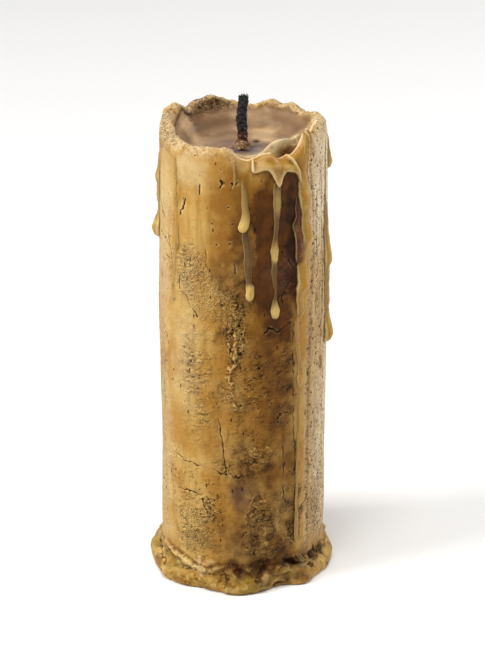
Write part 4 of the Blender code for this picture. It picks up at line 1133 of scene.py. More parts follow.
def grid_mesh(name: str, grids: list[np.ndarray], looped: bool) -> bpy.types.Mesh:
    """A mesh over grids of points whose columns close round: four neighbours make a face.

    Args:
        name: The mesh's name.
        grids: Each is rows by columns by x, y and z, in millimetres, the rows going outwards or
            upwards.
        looped: Whether the last row joins the first; otherwise a face closes each end.

    Returns:
        The mesh, in metres, smooth, with its faces outwards.
    """
    corners, starts, first, corner_count = [], [], 0, 0
    for points in grids:
        rows, columns = points.shape[:2]
        index = first + np.arange(rows * columns).reshape(rows, columns)
        first += rows * columns
        low, high = (index, np.roll(index, -1, 0)) if looped else (index[:-1], index[1:])
        quads = np.stack([low, np.roll(low, -1, 1), np.roll(high, -1, 1), high], axis=-1).ravel()
        ends = [] if looped else [index[0, ::-1], index[-1]]
        corners += [quads, *ends]
        starts.append(corner_count + np.arange(0, len(quads), 4))
        corner_count += len(quads)
        for end in ends:
            starts.append(np.array([corner_count]))
            corner_count += len(end)
    places = np.concatenate([points.reshape(-1, 3) for points in grids]) * MM
    mesh = bpy.data.meshes.new(name)
    mesh.vertices.add(len(places))
    mesh.vertices.foreach_set("co", places.astype(np.float32).ravel())
    mesh.loops.add(corner_count)
    mesh.loops.foreach_set("vertex_index", np.concatenate(corners).astype(np.int32))
    loop_starts = np.concatenate(starts).astype(np.int32)
    mesh.polygons.add(len(loop_starts))
    mesh.polygons.foreach_set("loop_start", loop_starts)
    mesh.update(calc_edges=True)
    mesh.shade_smooth()
    return mesh


def add_masks(mesh: bpy.types.Mesh, masks: dict[str, np.ndarray]) -> None:
    """Puts each mask on the mesh's points under its name."""
    for name, mask in masks.items():
        layer = mesh.attributes.new(name, "FLOAT", "POINT")
        layer.data.foreach_set("value", mask.astype(np.float32).ravel())


def thinned(mesh: bpy.types.Mesh, triangles: int) -> bpy.types.Mesh:
    """The mesh with its flattest stretches thinned until it has no more than so many triangles.

    Args:
        mesh: A mesh of four-sided faces; it is removed.
        triangles: The most triangles to keep.

    Returns:
        A new mesh with the same attributes.
    """
    holder = bpy.data.objects.new("holder", mesh)
    bpy.context.scene.collection.objects.link(holder)
    thin = holder.modifiers.new("thin", "DECIMATE")
    thin.ratio = min(1.0, triangles / (2 * len(mesh.polygons)))
    bpy.context.view_layer.update()
    evaluated = holder.evaluated_get(bpy.context.evaluated_depsgraph_get())
    result = bpy.data.meshes.new_from_object(evaluated)
    bpy.data.objects.remove(holder)
    bpy.data.meshes.remove(mesh)
    result.shade_smooth()
    return result


# Where the wax is amber, brown, singed, chalky, bloomed, mossy and worn, and where grime and painted shade
# darken it.
# Brown over 1, mostly beside the long run, is laid darker still, as dark stain and painted shade.
AMBER = patches(
    (-4, 150, 22, 13, 1), (-12, 136, 14, 12, 0.7), (20, 100, 22, 70, 0.9), (24, 156, 12, 8, 0.8),
    (-14, 60, 16, 60, 0.5), (-10, 98, 8, 20, 0.5), (-8, 56, 10, 12, 0.5), (64, 164, 6, 8, 0.6),
    (150, 146, 22, 16, 0.7), (-130, 150, 16, 10, 0.6), (170, 90, 24, 60, 0.5),
)
BROWN = patches(
    (16, 146, 10, 13, 1), (33, 144, 10, 24, 1.3), (22, 122, 18, 18, 1.1), (9, 121, 9, 12, 0.9),
    (26, 103, 11, 11, 0.9), (16, 92, 13, 14, 0.5), (24, 74, 15, 22, 0.5), (33, 45, 9, 38, 0.5),
    (20, 28, 15, 20, 0.42), (12, 20, 26, 14, 0.25), (36, 134, 9, 24, 1.5), (37, 121, 8, 12, 1.5),
    (17, 135, 9, 8, 1.1), (4, 5, 9, 3, 1), (35, 80, 7, 20, 0.55), (4, 20, 16, 12, 0.62),
    (38, 16, 9, 10, 0.5), (0, 130, 9, 24, 0.6), (0, 114, 8, 8, 0.5), (-15, 100, 7, 6, 0.5),
    (-28, 17, 22, 7, 0.4), (-12, 121, 12, 11, 0.55), (0, 71, 9, 9, 0.38), (2, 42, 12, 26, 0.58),
    (-16, 22, 12, 9, 0.4), (-15, 50, 9, 9, 0.32), (-33, 26, 16, 18, 0.26), (-2, 9, 20, 8, 0.5),
    (26, 9, 34, 9, 0.62), (38, 26, 10, 18, 0.62), (18, 46, 9, 7, 0.6), (0, 150, 9, 9, 0.3),
    (-52, 30, 14, 14, 0.2), (148, 128, 12, 18, 0.65), (168, 60, 18, 30, 0.5), (-120, 110, 14, 20, 0.4),
)
SINGED = patches(
    (-146, 171, 20, 7, 1), (-156, 175, 9, 4, 1.2), (-172, 170, 8, 4, 0.5), (-128, 168, 12, 5, 0.6),
    (150, 170, 5, 3, 0.5), (112, 170, 5, 3, 0.4), (-96, 171, 5, 3, 0.4), (-20, 169, 4, 2, 0.35),
)
CHALK = patches(
    (-40, 160, 18, 8, 0.8), (-68, 130, 14, 50, 0.7), (-42, 116, 16, 12, 0.4), (76, 150, 24, 24, 1.2),
    (80, 66, 10, 34, 0.9), (76, 50, 18, 40, 0.7), (-68, 50, 12, 46, 0.6), (-100, 100, 20, 50, 0.4),
    (120, 60, 20, 40, 0.5), (-160, 100, 16, 34, 0.4), (-40, 6.8, 18, 1.3, 1.2), (-42, 89, 16, 24, 0.6),
    (60, 144, 8, 16, 1.2), (44, 7, 5, 2.4, 0.8),
)
BLOOM = patches(
    (-2, 36, 8, 5, 0.5), (-72, 80, 7, 70, 0.6), (-37, 122, 12, 9, 0.5), (58, 140, 8, 30, 0.2),
    (-158, 172, 16, 6, 0.8), (-60, 8.4, 7, 3, 0.6), (-66, 10, 8, 5, 0.8), (46, 7, 6, 3, 1),
    (26, 121, 10, 9, 0.25), (130, 20, 16, 10, 0.5), (-150, 70, 14, 20, 0.5),
)
MOSS = patches(
    (-56, 5.6, 14, 1.8, 1), (-86, 6, 12, 3, 0.9), (-22, 3, 14, 2, 0.5), (2, 2.4, 14, 1.8, 1),
    (27, 5.6, 8, 1.8, 0.9), (84, 3, 20, 3, 0.4), (140, 5, 22, 2.4, 0.8), (-140, 5, 26, 2.4, 0.7),
)
GRIME_AND_SHADE = patches(
    (35, 9, 6, 3, 0.6), (58, 8, 8, 3.4, 0.7), (66, 7, 8, 2.4, 0.9), (25, 1.4, 8, 1.6, 1),
    (-4, 6.5, 12, 3, 0.5), (8, 8, 18, 4, 0.35), (34.5, 142, 3, 12, 1.3), (20, 16, 12, 9, 0.4),
    (74, 9, 14, 4, 0.7), (40, 134, 3, 12, 0.7), (120, 6, 30, 4, 0.8), (-140, 6, 30, 4, 0.8),
)
WORN = patches(
    (0, 66, 34, 24, 0.35), (10, 82, 14, 12, 0.7), (-34, 86, 12, 16, 0.7), (-26, 66, 14, 12, 0.4),
    (-6, 106, 12, 14, 0.8), (-38, 122, 14, 10, 0.7), (16, 24, 16, 14, 0.85), (4, 50, 14, 8, 0.7),
    (-20, 32, 9, 8, 0.7), (-2, 96, 8, 14, 0.6), (-15, 48, 7, 4, 1), (38, 34, 8, 12, 0.9),
    (-60, 130, 10, 18, 0.5), (-54, 44, 10, 12, 0.5), (-36, 24, 20, 20, 0.8), (30, 118, 10, 14, 0.6),
    (30, 84, 10, 20, 0.7), (8, 134, 8, 14, 0.4), (70, 40, 20, 30, 0.6), (-72, 60, 12, 50, 0.5),
    (120, 60, 30, 50, 0.8), (-120, 90, 30, 60, 0.8), (175, 60, 30, 50, 0.9),
)


@dataclass
class Wick:
    """The burnt braided wick, with the frayed fibres at its tip."""

    radius: float = 1.8
    bottom: float = 0.4
    emerges: float = 160.0
    tip: float = 178.9
    plaits: int = 4
    lay: float = 2.9
    plait_depth: float = 0.46
    columns: int = 84
    row_spacing: float = 0.12
    fibres: int = 70
    fibre_sides: int = 5
    bend: tuple[tuple[float, float, float, float], ...] = (
        (0, 0, 0, 0.9), (159, 0, 0, 0.98), (163.5, 0.05, 0.05, 1), (167, 0, 0.2, 1),
        (170, -0.35, 0.3, 1.03), (172.5, -0.4, 0.35, 1), (175, -0.05, 0.3, 0.92),
        (178.9, 0.4, 0.2, 1),
    )

    def middle(self, height: np.ndarray) -> tuple[np.ndarray, np.ndarray, np.ndarray]:
        """The wick's middle line and its share of the radius: the bend's values at a height, eased by
        averaging a short stretch round it.

        Args:
            height: Heights in millimetres.

        Returns:
            x, y and the share of the radius.
        """
        levels, to_right, to_front, share = np.array(self.bend).T
        steps = np.linspace(-1.2, 1.2, 7)
        near = np.asarray(height)[..., None] + steps
        x, front, girth = (np.interp(near, levels, row).mean(-1) for row in (to_right, to_front, share))
        return x, -front, girth

    def braid(self) -> bpy.types.Mesh:
        """The braid: a tube whose radius rises by the larger of two families of ridges that wind
        round it opposite ways, each |cos| of its own phase, so that they pass over each other.

        Returns:
            The closed mesh.
        """
        buried = np.array([self.bottom, 40.0, 90.0, 140.0])
        count = round((self.tip - self.emerges + 3.0) / self.row_spacing)
        height = np.concatenate([buried, np.linspace(self.emerges - 3.0, self.tip, count)])[:, None]
        turn = np.linspace(0.0, math.tau, self.columns, endpoint=False)[None, :]
        x, y, girth = self.middle(height)
        skin = round_axis(turn, self.radius, height)
        wind = math.pi * (height + 0.25 * Noise(50).at(skin, 1.6)) / self.lay
        one = np.abs(np.cos(self.plaits * turn / 2.0 + wind))
        other = np.abs(np.cos(self.plaits * turn / 2.0 - wind))
        over = 0.5 + 0.5 * np.sin(self.plaits * turn + 0.4)
        weave = np.maximum(one**1.4 * (0.75 + 0.25 * over), other**1.4 * (1.0 - 0.25 * over))
        ragged = Noise(51).layered(skin, 1.0)
        burnt = ease(self.tip - 6.0, self.tip, height)
        soaked = ease(self.emerges + 4.0, self.emerges + 1.0, height)
        relief = self.plait_depth * (weave - 0.6) * (1.0 - 0.7 * soaked) + ragged * (0.12 + 0.14 * burnt)
        radius = self.radius * girth + relief
        radius = radius * np.where(height > self.tip - 0.02, 0.8, 1.0)
        points = round_axis(turn, radius, height) + np.stack([x, y, 0 * x], axis=-1)
        points[-1:, :, 2] += 0.45 * Noise(53).at(points[-1:], 0.7)
        middles = [points[:1].mean(axis=1, keepdims=True), points[-1:].mean(axis=1, keepdims=True)]
        low = mixed(middles[0], points[:1], 0.02)
        high = mixed(middles[1] - (0, 0, 0.5), points[-1:], 0.02)
        return grid_mesh("braid_full", [np.concatenate([low, points, high])], looped=False)

    def fibre_mesh(self) -> bpy.types.Mesh:
        """The frayed fibres: thin cones that lean out of the tip and curl, worked out together. Each
        one's middle line is a start on the tip plus t times its way plus t^2 times its curl. A few
        stand off the wick's side.

        Returns:
            One mesh of closed fibres.
        """
        random = np.random.default_rng(57)
        count = self.fibres
        turn = random.uniform(0, math.tau, count)
        low = random.random(count) < 0.35
        start_r = np.where(low, 1.0, 0.95 * np.sqrt(random.uniform(0.05, 1.0, count))) * self.radius
        start_z = np.where(low, self.tip - random.uniform(0.5, 9.0, count), self.tip - 0.15)
        x, y, _ = self.middle(start_z)
        length = np.where(low, random.uniform(0.3, 0.8, count), random.uniform(0.5, 1.5, count))
        lean = np.where(low, 0.5, random.uniform(0.0, 0.6, count) * start_r / self.radius)
        curl = random.normal(0.0, 0.25, (2, count, 1))
        share = np.array([-0.7, 0.0, 0.35, 0.7, 1.0])
        girth = np.array([1.0, 1.0, 0.85, 0.6, 0.15])
        ahead = held(share) ** 2
        way = start_r[:, None] + np.outer(lean, share)
        line_x = x[:, None] + way * np.cos(turn)[:, None] + curl[0] * ahead
        line_y = y[:, None] + way * np.sin(turn)[:, None] + curl[1] * ahead
        line_z = start_z[:, None] + np.outer(length, share)
        side = np.linspace(0, math.tau, self.fibre_sides, endpoint=False)
        radius = np.outer(random.uniform(0.12, 0.24, count), girth)[..., None]
        points = round_axis(side, radius, 0.0) + np.stack([line_x, line_y, line_z], axis=-1)[..., None, :]
        return grid_mesh("fibres_full", list(points), looped=False)


# ---------------------------------------------------------------- finishes


def linear(colour: str) -> tuple[float, float, float, float]:
    """An sRGB hex colour as linear red, green, blue and full alpha: c / 12.92 in the darkest part,
    and ((c + 0.055) / 1.055)^2.4 above it."""
    shares = [int(colour[place : place + 2], 16) / 255 for place in (1, 3, 5)]
    red, green, blue = (c / 12.92 if c <= 0.04045 else ((c + 0.055) / 1.055) ** 2.4 for c in shares)
    return red, green, blue, 1.0


@dataclass(frozen=True)
class Value:
    """A value or a colour that a node of a tree works out. Sums are written with it."""

    tree: bpy.types.NodeTree
    socket: bpy.types.NodeSocket

    def sum_of(self, operation: str, *values: object) -> "Value":
        """One operation on values."""
        node = add_node(self.tree, "Math", dict(enumerate(values)), operation=operation)
        return Value(self.tree, node.outputs[0])

    def __add__(self, other: object) -> "Value":
        """The sum."""
        return self.sum_of("ADD", self, other)

    def __mul__(self, other: object) -> "Value":
        """The product."""
        return self.sum_of("MULTIPLY", self, other)

    def __sub__(self, other: object) -> "Value":
        """The difference."""
        return self.sum_of("SUBTRACT", self, other)

    def __rsub__(self, other: object) -> "Value":
        """The difference, taken from the other."""
        return self.sum_of("SUBTRACT", other, self)

    def __abs__(self) -> "Value":
        """The size without its sign."""
        return self.sum_of("ABSOLUTE", self)

    def or_over(self, other: object) -> "Value":
        """The larger of the two."""
        return self.sum_of("MAXIMUM", self, other)

    __radd__, __rmul__ = __add__, __mul__


def add_node(
    tree: bpy.types.NodeTree, kind: str, inputs: dict[int | str, object], **settings: object
) -> bpy.types.Node:
    """Adds a node with its settings, its values and its links.

    Args:
        tree: The node tree.
        kind: The node's type, without its "ShaderNode" prefix.
        inputs: For each input, by name or number, another node's value to link or a number to set.
        **settings: The node's own properties.

    Returns:
        The node.
    """
    node = tree.nodes.new("ShaderNode" + kind)
    for name, value in settings.items():
        setattr(node, name, value)
    for name, value in inputs.items():
        if isinstance(value, Value):
            tree.links.new(value.socket, node.inputs[name])
        else:
            node.inputs[name].default_value = value
    return node


# The numbers of a colour mix's inputs and result.
MIX_FACTOR, MIX_A, MIX_B, MIX_RESULT = 0, 6, 7, 2
# A pattern that is neither stretched nor moved.
EVEN = (1.0, 1.0, 1.0)
STILL = (0.0, 0.0, 0.0)


@dataclass
class Layers:
    """A material under construction: patterns, masks and the colour that coats are laid on."""

    name: str
    colour: Value | None = None

    def __post_init__(self) -> None:
        """Makes the material, with its tree, its shader and the place that its patterns read."""
        self.material = bpy.data.materials.new(self.name)
        self.material.use_nodes = True
        self.tree = self.material.node_tree
        self.inputs = self.tree.nodes["Principled BSDF"].inputs
        self.place = self.value("TexCoord", {}, "Object")

    def value(
        self, kind: str, inputs: dict[int | str, object], output: int | str = 0, **settings: object
    ) -> Value:
        """What one output of a new node works out."""
        return Value(self.tree, add_node(self.tree, kind, inputs, **settings).outputs[output])

    def __getitem__(self, name: str) -> Value:
        """A mask of the mesh."""
        return self.value("Attribute", {}, "Fac", attribute_name=name)

    def read_at(self, size: float, stretch: tuple, step: tuple) -> dict[int | str, object]:
        """Where a pattern of so many millimetres is read, a step away that is counted in sizes."""
        away = tuple(size * MM * part for part in step)
        place = self.value("Mapping", {"Vector": self.place, "Scale": stretch, "Location": away})
        return {"Vector": place, "Scale": 1.0 / (size * MM)}

    def noise(
        self, size: float, detail: float = 4.0, stretch: tuple = EVEN, curl: float = 0.0, step: tuple = STILL
    ) -> Value:
        """Noise whose lumps are so many millimetres across, bent into each other by a curl."""
        inputs = self.read_at(size, stretch, step) | {"Detail": detail, "Distortion": curl}
        return self.value("TexNoise", inputs, "Fac")

    def raked_light_and_shade(self, size: float, stretch: tuple, curl: float, reach: float) -> Value:
        """Fine creases painted as light from the upper left rakes them: over one half, a painted highlight,
        on the flank that faces it and under one half, painted shade, on the other, by how far noise rises
        over a short step."""
        near = self.noise(size, 4.0, stretch, curl, (-0.14, 0.0, 0.16))
        far = self.noise(size, 4.0, stretch, curl, (0.14, 0.0, -0.16))
        return self.spread(far - near, -reach, reach)

    def dots(
        self, spacing: float, outer: float, inner: float, stretch: tuple = EVEN, step: tuple = STILL
    ) -> Value:
        """Dots so many millimetres apart: 1 nearer to a dot's middle than inner, 0 beyond outer."""
        inputs = self.read_at(spacing, stretch, step) | {"Randomness": 1.0}
        return self.spread(self.value("TexVoronoi", inputs, "Distance"), outer, inner)

    def spread(self, value: Value, low: float, high: float) -> Value:
        """The value moved so that low becomes 0 and high 1, eased and held."""
        inputs = {"Value": value, "From Min": low, "From Max": high}
        return self.value("MapRange", inputs, interpolation_type="SMOOTHSTEP")

    def laid(self, under: object, colour: object, factor: object, blend: str = "MIX") -> Value:
        """A colour laid over another by a factor. Either is a hex value or a node's. OVERLAY makes the
        lower one lighter or darker instead, by how far the upper one is over or under one half."""
        under, over = (linear(one) if isinstance(one, str) else one for one in (under, colour))
        inputs = {MIX_FACTOR: factor, MIX_A: under, MIX_B: over}
        settings = {"data_type": "RGBA", "clamp_factor": True, "blend_type": blend}
        return self.value("Mix", inputs, MIX_RESULT, **settings)

    def coat(self, colour: object, factor: object, blend: str = "MIX") -> None:
        """Lays a colour on what the material has so far."""
        self.colour = self.laid(self.colour, colour, factor, blend)

    def finish(self, roughness: Value, relief: Value, depth: float) -> bpy.types.Material:
        """Links the colour and the roughness, and a bump whose relief is so many millimetres deep."""
        bump = self.value("Bump", {"Height": relief, "Strength": 1.0, "Distance": depth * MM})
        for name, value in (("Base Color", self.colour), ("Roughness", roughness), ("Normal", bump)):
            self.tree.links.new(value.socket, self.inputs[name])
        return self.material

    def scatter(self, weight: float, colour: tuple[float, float, float], depth: float, shine: float) -> None:
        """Sets how light goes into the wax: its weight, its spread of colours and its depth; and how
        much of it is mirrored instead."""
        self.inputs["Subsurface Weight"].default_value = weight
        self.inputs["Subsurface Radius"].default_value = colour
        self.inputs["Subsurface Scale"].default_value = depth * MM
        self.inputs["Specular IOR Level"].default_value = shine


@dataclass(frozen=True)
class BeeswaxFinish:
    """Old beeswax that was dipped, burnt and handled: golden where it is thick and clean, brown where
    it is thin or sooty, pale and mealy where bloom and wear have dulled it."""

    golden: str = "#aa7d36"
    ochre: str = "#bc9854"
    amber: str = "#8f6120"
    brown: str = "#422006"
    brown_warm: str = "#663709"
    deep: str = "#341803"
    chalk: str = "#cab07e"
    mealy: str = "#c4a56c"
    rim: str = "#ccb389"
    bloom: str = "#85705f"
    pool: str = "#86694c"
    pool_pale: str = "#b2946e"
    hollow: str = "#8f5a14"
    beach: str = "#d0b98c"
    collar: str = "#5c3c20"
    singed: str = "#4e3220"
    spilt: str = "#bd9448"
    spilt_thin: str = "#a5762c"
    cream: str = "#d6b68e"
    glint: str = "#ebdcb4"
    dry: str = "#d4c2a6"
    dry_low: str = "#b3966c"
    worn_edge_and_highlight: str = "#ddc07e"
    moss: str = "#92792c"
    dirt_and_shade: str = "#271302"
    # A dark tint laid by multiplying: grit in marks, pores and flecks, and painted shade in hollows, creases
    # and pits.
    crumb_and_shade: str = "#8f6640"
    shade: str = "#452208"
    soot: str = "#463c48"
    roughness: float = 0.44
    shine: float = 0.1
    scatter: float = 0.12
    scatter_depth: float = 2.5
    scatter_spread: tuple[float, float, float] = (1.0, 0.5, 0.2)
    bump_depth: float = 0.6

    def material(self) -> bpy.types.Material:
        """The wax: the masks of its mesh pick the colours, and noise at real sizes breaks them up."""
        wax = Layers("aged_beeswax")
        cloud = wax.noise(13.0, 5.0)
        mottle = wax.noise(4.2, 6.0)
        blotch = wax.noise(1.9, 5.0)
        grain = wax.noise(0.9, 5.0)
        dust = wax.noise(0.45, 3.0)
        drips = wax.noise(3.0, 4.0, (1.0, 1.0, 0.12))
        streaks = wax.noise(1.5, 4.0, (1.0, 1.0, 0.1))
        crumple = wax.noise(1.3, 4.0, (0.7, 0.7, 1.3), 0.4)
        wrinkle_light_and_shade = wax.raked_light_and_shade(1.3, (0.7, 0.7, 1.3), 0.4, 0.13)
        grain_light_and_shade = wax.raked_light_and_shade(0.55, (1.0, 1.0, 1.0), 0.0, 0.14)
        creases = wax.spread(abs(crumple - 0.5), 0.02, 0.0)
        specks = wax.dots(1.9, 0.25, 0.14)
        flecks = wax.dots(3.6, 0.13, 0.07, (1.0, 1.0, 0.45))
        worn = wax["worn"]
        dull = 1.0 - wax["fresh"].or_over(wax["pool"])

        wax.colour = wax.laid(self.golden, self.ochre, wax.spread(cloud, 0.38, 0.62))
        wax.coat(self.amber, wax.spread(drips, 0.48, 0.72) * 0.45)
        wax.coat(self.amber, wax.spread(wax["amber"] * (mottle + 0.45), 0.1, 0.8))
        chalk = wax.spread(wax["chalk"] * (mottle + 0.4), 0.1, 0.8)
        wax.coat(self.chalk, chalk * 0.75)
        brown = wax.spread(wax["brown"] * (mottle + 0.5), 0.1, 0.75)
        browned = wax.spread(drips * 0.5 + mottle * 0.6, 0.35, 0.7)
        browned = wax.laid(self.brown_warm, self.brown, browned)
        wax.coat(browned, brown * 0.92)
        # Where the brown is over 1, mostly beside the long run, it is laid darker still: dark stain and
        # painted shade.
        wax.coat(self.deep, wax.spread(wax["brown"], 1.0, 1.4) * 0.75)
        dried = wax.laid(self.dry_low, self.dry, wax["chalk"])
        wax.coat(dried, wax["panel"] * (mottle * 0.5 + 0.5))
        bloom = wax["bloom"] * wax.spread(blotch, 0.3, 0.6)
        wax.coat(self.bloom, bloom * 0.5)
        pale = wax["granular"] * wax.spread(grain, 0.45, 0.6)
        wax.coat(self.mealy, pale * 0.4)
        rim = wax["rim"] * wax.spread(mottle, 0.25, 0.55)
        wax.coat(self.rim, rim * 0.8)
        wax.coat(self.brown, wax["rim"] * wax.spread(blotch, 0.56, 0.74) * 0.35)
        foot = wax["foot"] * wax.spread(mottle, 0.4, 0.7)
        wax.coat(self.brown, foot * 0.5)
        wax.coat(self.moss, wax["moss"] * wax.spread(mottle, 0.2, 0.55) * 0.75)
        pool = wax.laid(self.pool, self.pool_pale, wax.spread(cloud, 0.42, 0.62))
        pool = wax.laid(pool, wax["band"], 0.14, "OVERLAY")
        pool = wax.laid(pool, self.beach, wax["beach"] * wax.spread(mottle, 0.25, 0.6) * 0.75)
        wax.coat(pool, wax["pool"].or_over(wax["beach"]))
        soot = wax["soot"] * wax.spread(cloud + mottle, 0.7, 1.05)
        wax.coat(self.soot, soot * 0.95)
        collar = wax.laid(self.collar, self.pool_pale, wax.spread(grain + dust * 0.5, 0.7, 0.9))
        wax.coat(collar, wax["collar"] * 0.9)
        singed = wax["singed"] * wax.spread(grain + mottle, 0.75, 1.15)
        wax.coat(self.singed, singed * 0.85)
        spilt = wax.laid(self.spilt_thin, self.spilt, wax.spread(wax["thick"], 0.25, 0.75))
        spilt = wax.laid(spilt, self.cream, wax.spread(mottle, 0.48, 0.62) * wax["thick"] * 0.7)
        wax.coat(spilt, wax["fresh"] * 0.92)
        # The painted highlight along the crest and the brow.
        wax.coat(self.glint, wax["painted_edge_highlight"] * 0.75)
        wax.coat(self.glint, wax["raised"] * wax["fresh"] * 0.45)
        clean = 1.0 - brown * 0.75
        # Raised places laid paler: partly worn edges, partly painted highlight.
        wax.coat(self.worn_edge_and_highlight, wax["raised"] * clean * 0.5)
        # Painted shade: the sunk places darkened.
        sunk = wax["sunk"] * (grain + 0.3)
        wax.coat(self.crumb_and_shade, sunk * 0.8, "MULTIPLY")
        wax.coat(self.hollow, wax["hollow"] * (mottle + 0.4))
        wax.coat(self.shade, wax["shade"] * 0.85)
        # Grit, grime and painted shade from the dark mask, darkened by multiplying and then laid over.
        soil_and_shade = wax["dirt_and_shade"] * (mottle + 0.3)
        wax.coat(self.crumb_and_shade, soil_and_shade, "MULTIPLY")
        wax.coat(self.dirt_and_shade, soil_and_shade * 0.8)
        patchy = worn * wax.spread(mottle, 0.35, 0.62)
        clumped = patchy * (wax.spread(blotch, 0.42, 0.58) + 0.25)
        # The creases of crumpled wax darkened: partly grit, partly painted shade.
        wax.coat(self.crumb_and_shade, creases * clumped * 0.8, "MULTIPLY")
        # Painted light and shade of fine creases, raked from the upper left: strong in the worn clumps, faint
        # on all dull wax.
        wax.coat(wrinkle_light_and_shade, clumped * 0.75 + dull * 0.03, "OVERLAY")
        # Painted light and shade of fine grain on the mealy wax, the rim and the worn areas.
        mealy = wax["granular"] * 0.3 + wax["rim"] * 0.2
        wax.coat(grain_light_and_shade, mealy + worn * 0.1, "OVERLAY")
        wax.coat(wax.spread(streaks, 0.35, 0.65), wax["panel"] * 0.14, "OVERLAY")
        # Painted light and shade of fine grain on the dry panel.
        wax.coat(grain_light_and_shade, wax["panel"] * 0.2, "OVERLAY")
        holes = wax.dots(2.6, 0.24, 0.13) * wax["panel"] * wax.spread(mottle, 0.3, 0.5)
        wax.coat(self.dirt_and_shade, holes * 0.9)
        # Pits darkened in patches, each with a painted highlight a short step towards +X and down from it.
        holed = wax.spread(mottle + worn * 0.2, 0.46, 0.6) * (worn + 0.5) * dull
        lit = wax.dots(2.2, 0.17, 0.11, step=(-0.1, 0.0, 0.1)) * holed * clean
        wax.coat(self.worn_edge_and_highlight, lit * 0.45)
        wax.coat(self.crumb_and_shade, wax.dots(2.2, 0.15, 0.1) * holed, "MULTIPLY")
        glints = wax.dots(1.7, 0.16, 0.08) * clumped * clean
        wax.coat(self.glint, glints * 0.55)
        dry = wax["panel"] + wax["granular"] * 0.3
        wax.coat(self.dirt_and_shade, specks * dry * 0.5)
        mealy = wax["granular"].or_over(wax["rim"])
        pores = wax.dots(0.95, 0.24, 0.12) * mealy
        wax.coat(self.crumb_and_shade, pores * 0.7, "MULTIPLY")
        # Painted highlights on the grains of the mealy wax and the rim.
        lit_grains = wax.dots(1.1, 0.3, 0.14, step=(-0.15, 0.0, 0.2)) * mealy * clean
        wax.coat(self.worn_edge_and_highlight, lit_grains * 0.5)
        wax.coat(self.crumb_and_shade, flecks * dull, "MULTIPLY")

        gloss = wax["fresh"] * 0.2 + wax["pool"] * 0.04
        powdery = wax["granular"].or_over(wax["chalk"]) * 0.08
        rough = self.roughness + powdery - gloss + (grain - 0.5) * 0.3

        mealy_relief = (grain + dust) * (wax["granular"] * 0.9 + 0.15)
        crumpled = (crumple * 2.2 + creases * -0.6) * (clumped + 0.04)
        relief = blotch * 0.6 + mealy_relief + crumpled + specks * dry * -0.6
        relief = relief * (dull * 0.85 + 0.15)
        wax.scatter(self.scatter, self.scatter_spread, self.scatter_depth, self.shine)
        return wax.finish(rough, relief, self.bump_depth)


@dataclass(frozen=True)
class FreshRunFinish:
    """Beeswax that ran and set last: cloudy yellow in a bead, clear brown where it is thin, with the
    soft gloss of a surface that was liquid."""

    bead: str = "#c9aa60"
    amber: str = "#ab802f"
    lit: str = "#ead8a2"
    thread: str = "#a88444"
    burnt: str = "#4a2808"
    burnt_bead: str = "#6a3608"
    dirt_and_shade: str = "#2a190c"
    roughness: float = 0.3
    shine: float = 0.2
    scatter: float = 0.14
    scatter_depth: float = 1.8
    scatter_spread: tuple[float, float, float] = (1.0, 0.62, 0.2)
    bump_depth: float = 0.12

    def material(self) -> bpy.types.Material:
        """The runs: thickness and stain pick the colours; grit lies in patches and cracks, a painted
        highlight lies along each shoulder, and the edge where a run meets the wall is darkened, partly as
        soiling and partly as painted shade.
        """
        wax = Layers("fresh_beeswax")
        mottle = wax.noise(3.4, 5.0)
        grain = wax.noise(1.0, 4.0)
        thick = wax.spread(wax["thick"] + mottle * 0.2, 0.36, 0.95)
        stain = wax["stain"] + (mottle - 0.5) * 0.8
        thin = wax.laid(self.thread, self.burnt, wax["clear"])
        full = wax.laid(self.bead, self.amber, wax.spread(stain, 0.1, 0.55))
        full = wax.laid(full, self.burnt_bead, wax.spread(stain, 0.75, 1.0))
        wax.colour = wax.laid(thin, full, thick)
        wax.coat(self.dirt_and_shade, wax.spread(grain, 0.6, 0.75) * 0.35)
        shoulder = wax.spread(wax["edge"], 0.35, 0.6) * wax.spread(wax["edge"], 0.9, 0.7)
        wax.coat(self.lit, shoulder * (thick + 0.4) * 0.5)
        crack = abs(wax.noise(3.0, 3.0, (1.0, 1.0, 0.5)) - 0.5)
        wax.coat(self.dirt_and_shade, wax.spread(crack, 0.012, 0.0) * wax["stain"] * 0.8)
        # The edge where a run meets the wall darkened: soiling, more on stained runs, and painted shade.
        edge_soil_and_shade = wax.spread(wax["edge"], 0.75, 1.0) * (wax["stain"] * 0.3 + 0.08)
        wax.coat(self.dirt_and_shade, edge_soil_and_shade)
        rough = self.roughness + (grain - 0.5) * 0.3
        wax.scatter(self.scatter, self.scatter_spread, self.scatter_depth, self.shine)
        return wax.finish(rough, mottle + grain * 0.4, self.bump_depth)


@dataclass(frozen=True)
class CharredCottonFinish:
    """Braided cotton, burnt to soft black carbon, and still brown with wax near the pool."""

    carbon: str = "#121317"
    ash_and_sheen: str = "#4c5058"
    soaked: str = "#44200e"
    waxed: str = "#7c5434"
    soaked_top: float = 166.4
    waxed_top: float = 163.6
    roughness: float = 0.72
    bump_depth: float = 0.14

    def material(self) -> bpy.types.Material:
        """The wick: black, greyer in patches of fine noise as ash and painted sheen, and brown where wax has
        soaked in.
        """
        char = Layers("charred_cotton")
        height = char.value("SeparateXYZ", {0: char.place}, "Z")
        grain = char.noise(0.6)
        lumps = char.noise(2.0, 3.0)
        level = height * (1.0 / MM) + lumps * 4.0
        char.colour = char.laid(self.carbon, self.ash_and_sheen, char.spread(grain, 0.55, 0.85))
        soaked = char.spread(level, self.soaked_top + 3.2, self.soaked_top + 0.8)
        char.coat(self.soaked, soaked)
        char.coat(self.waxed, char.spread(level, self.waxed_top + 2.6, self.waxed_top + 0.8))
        return char.finish(self.roughness - soaked * 0.3, grain, self.bump_depth)


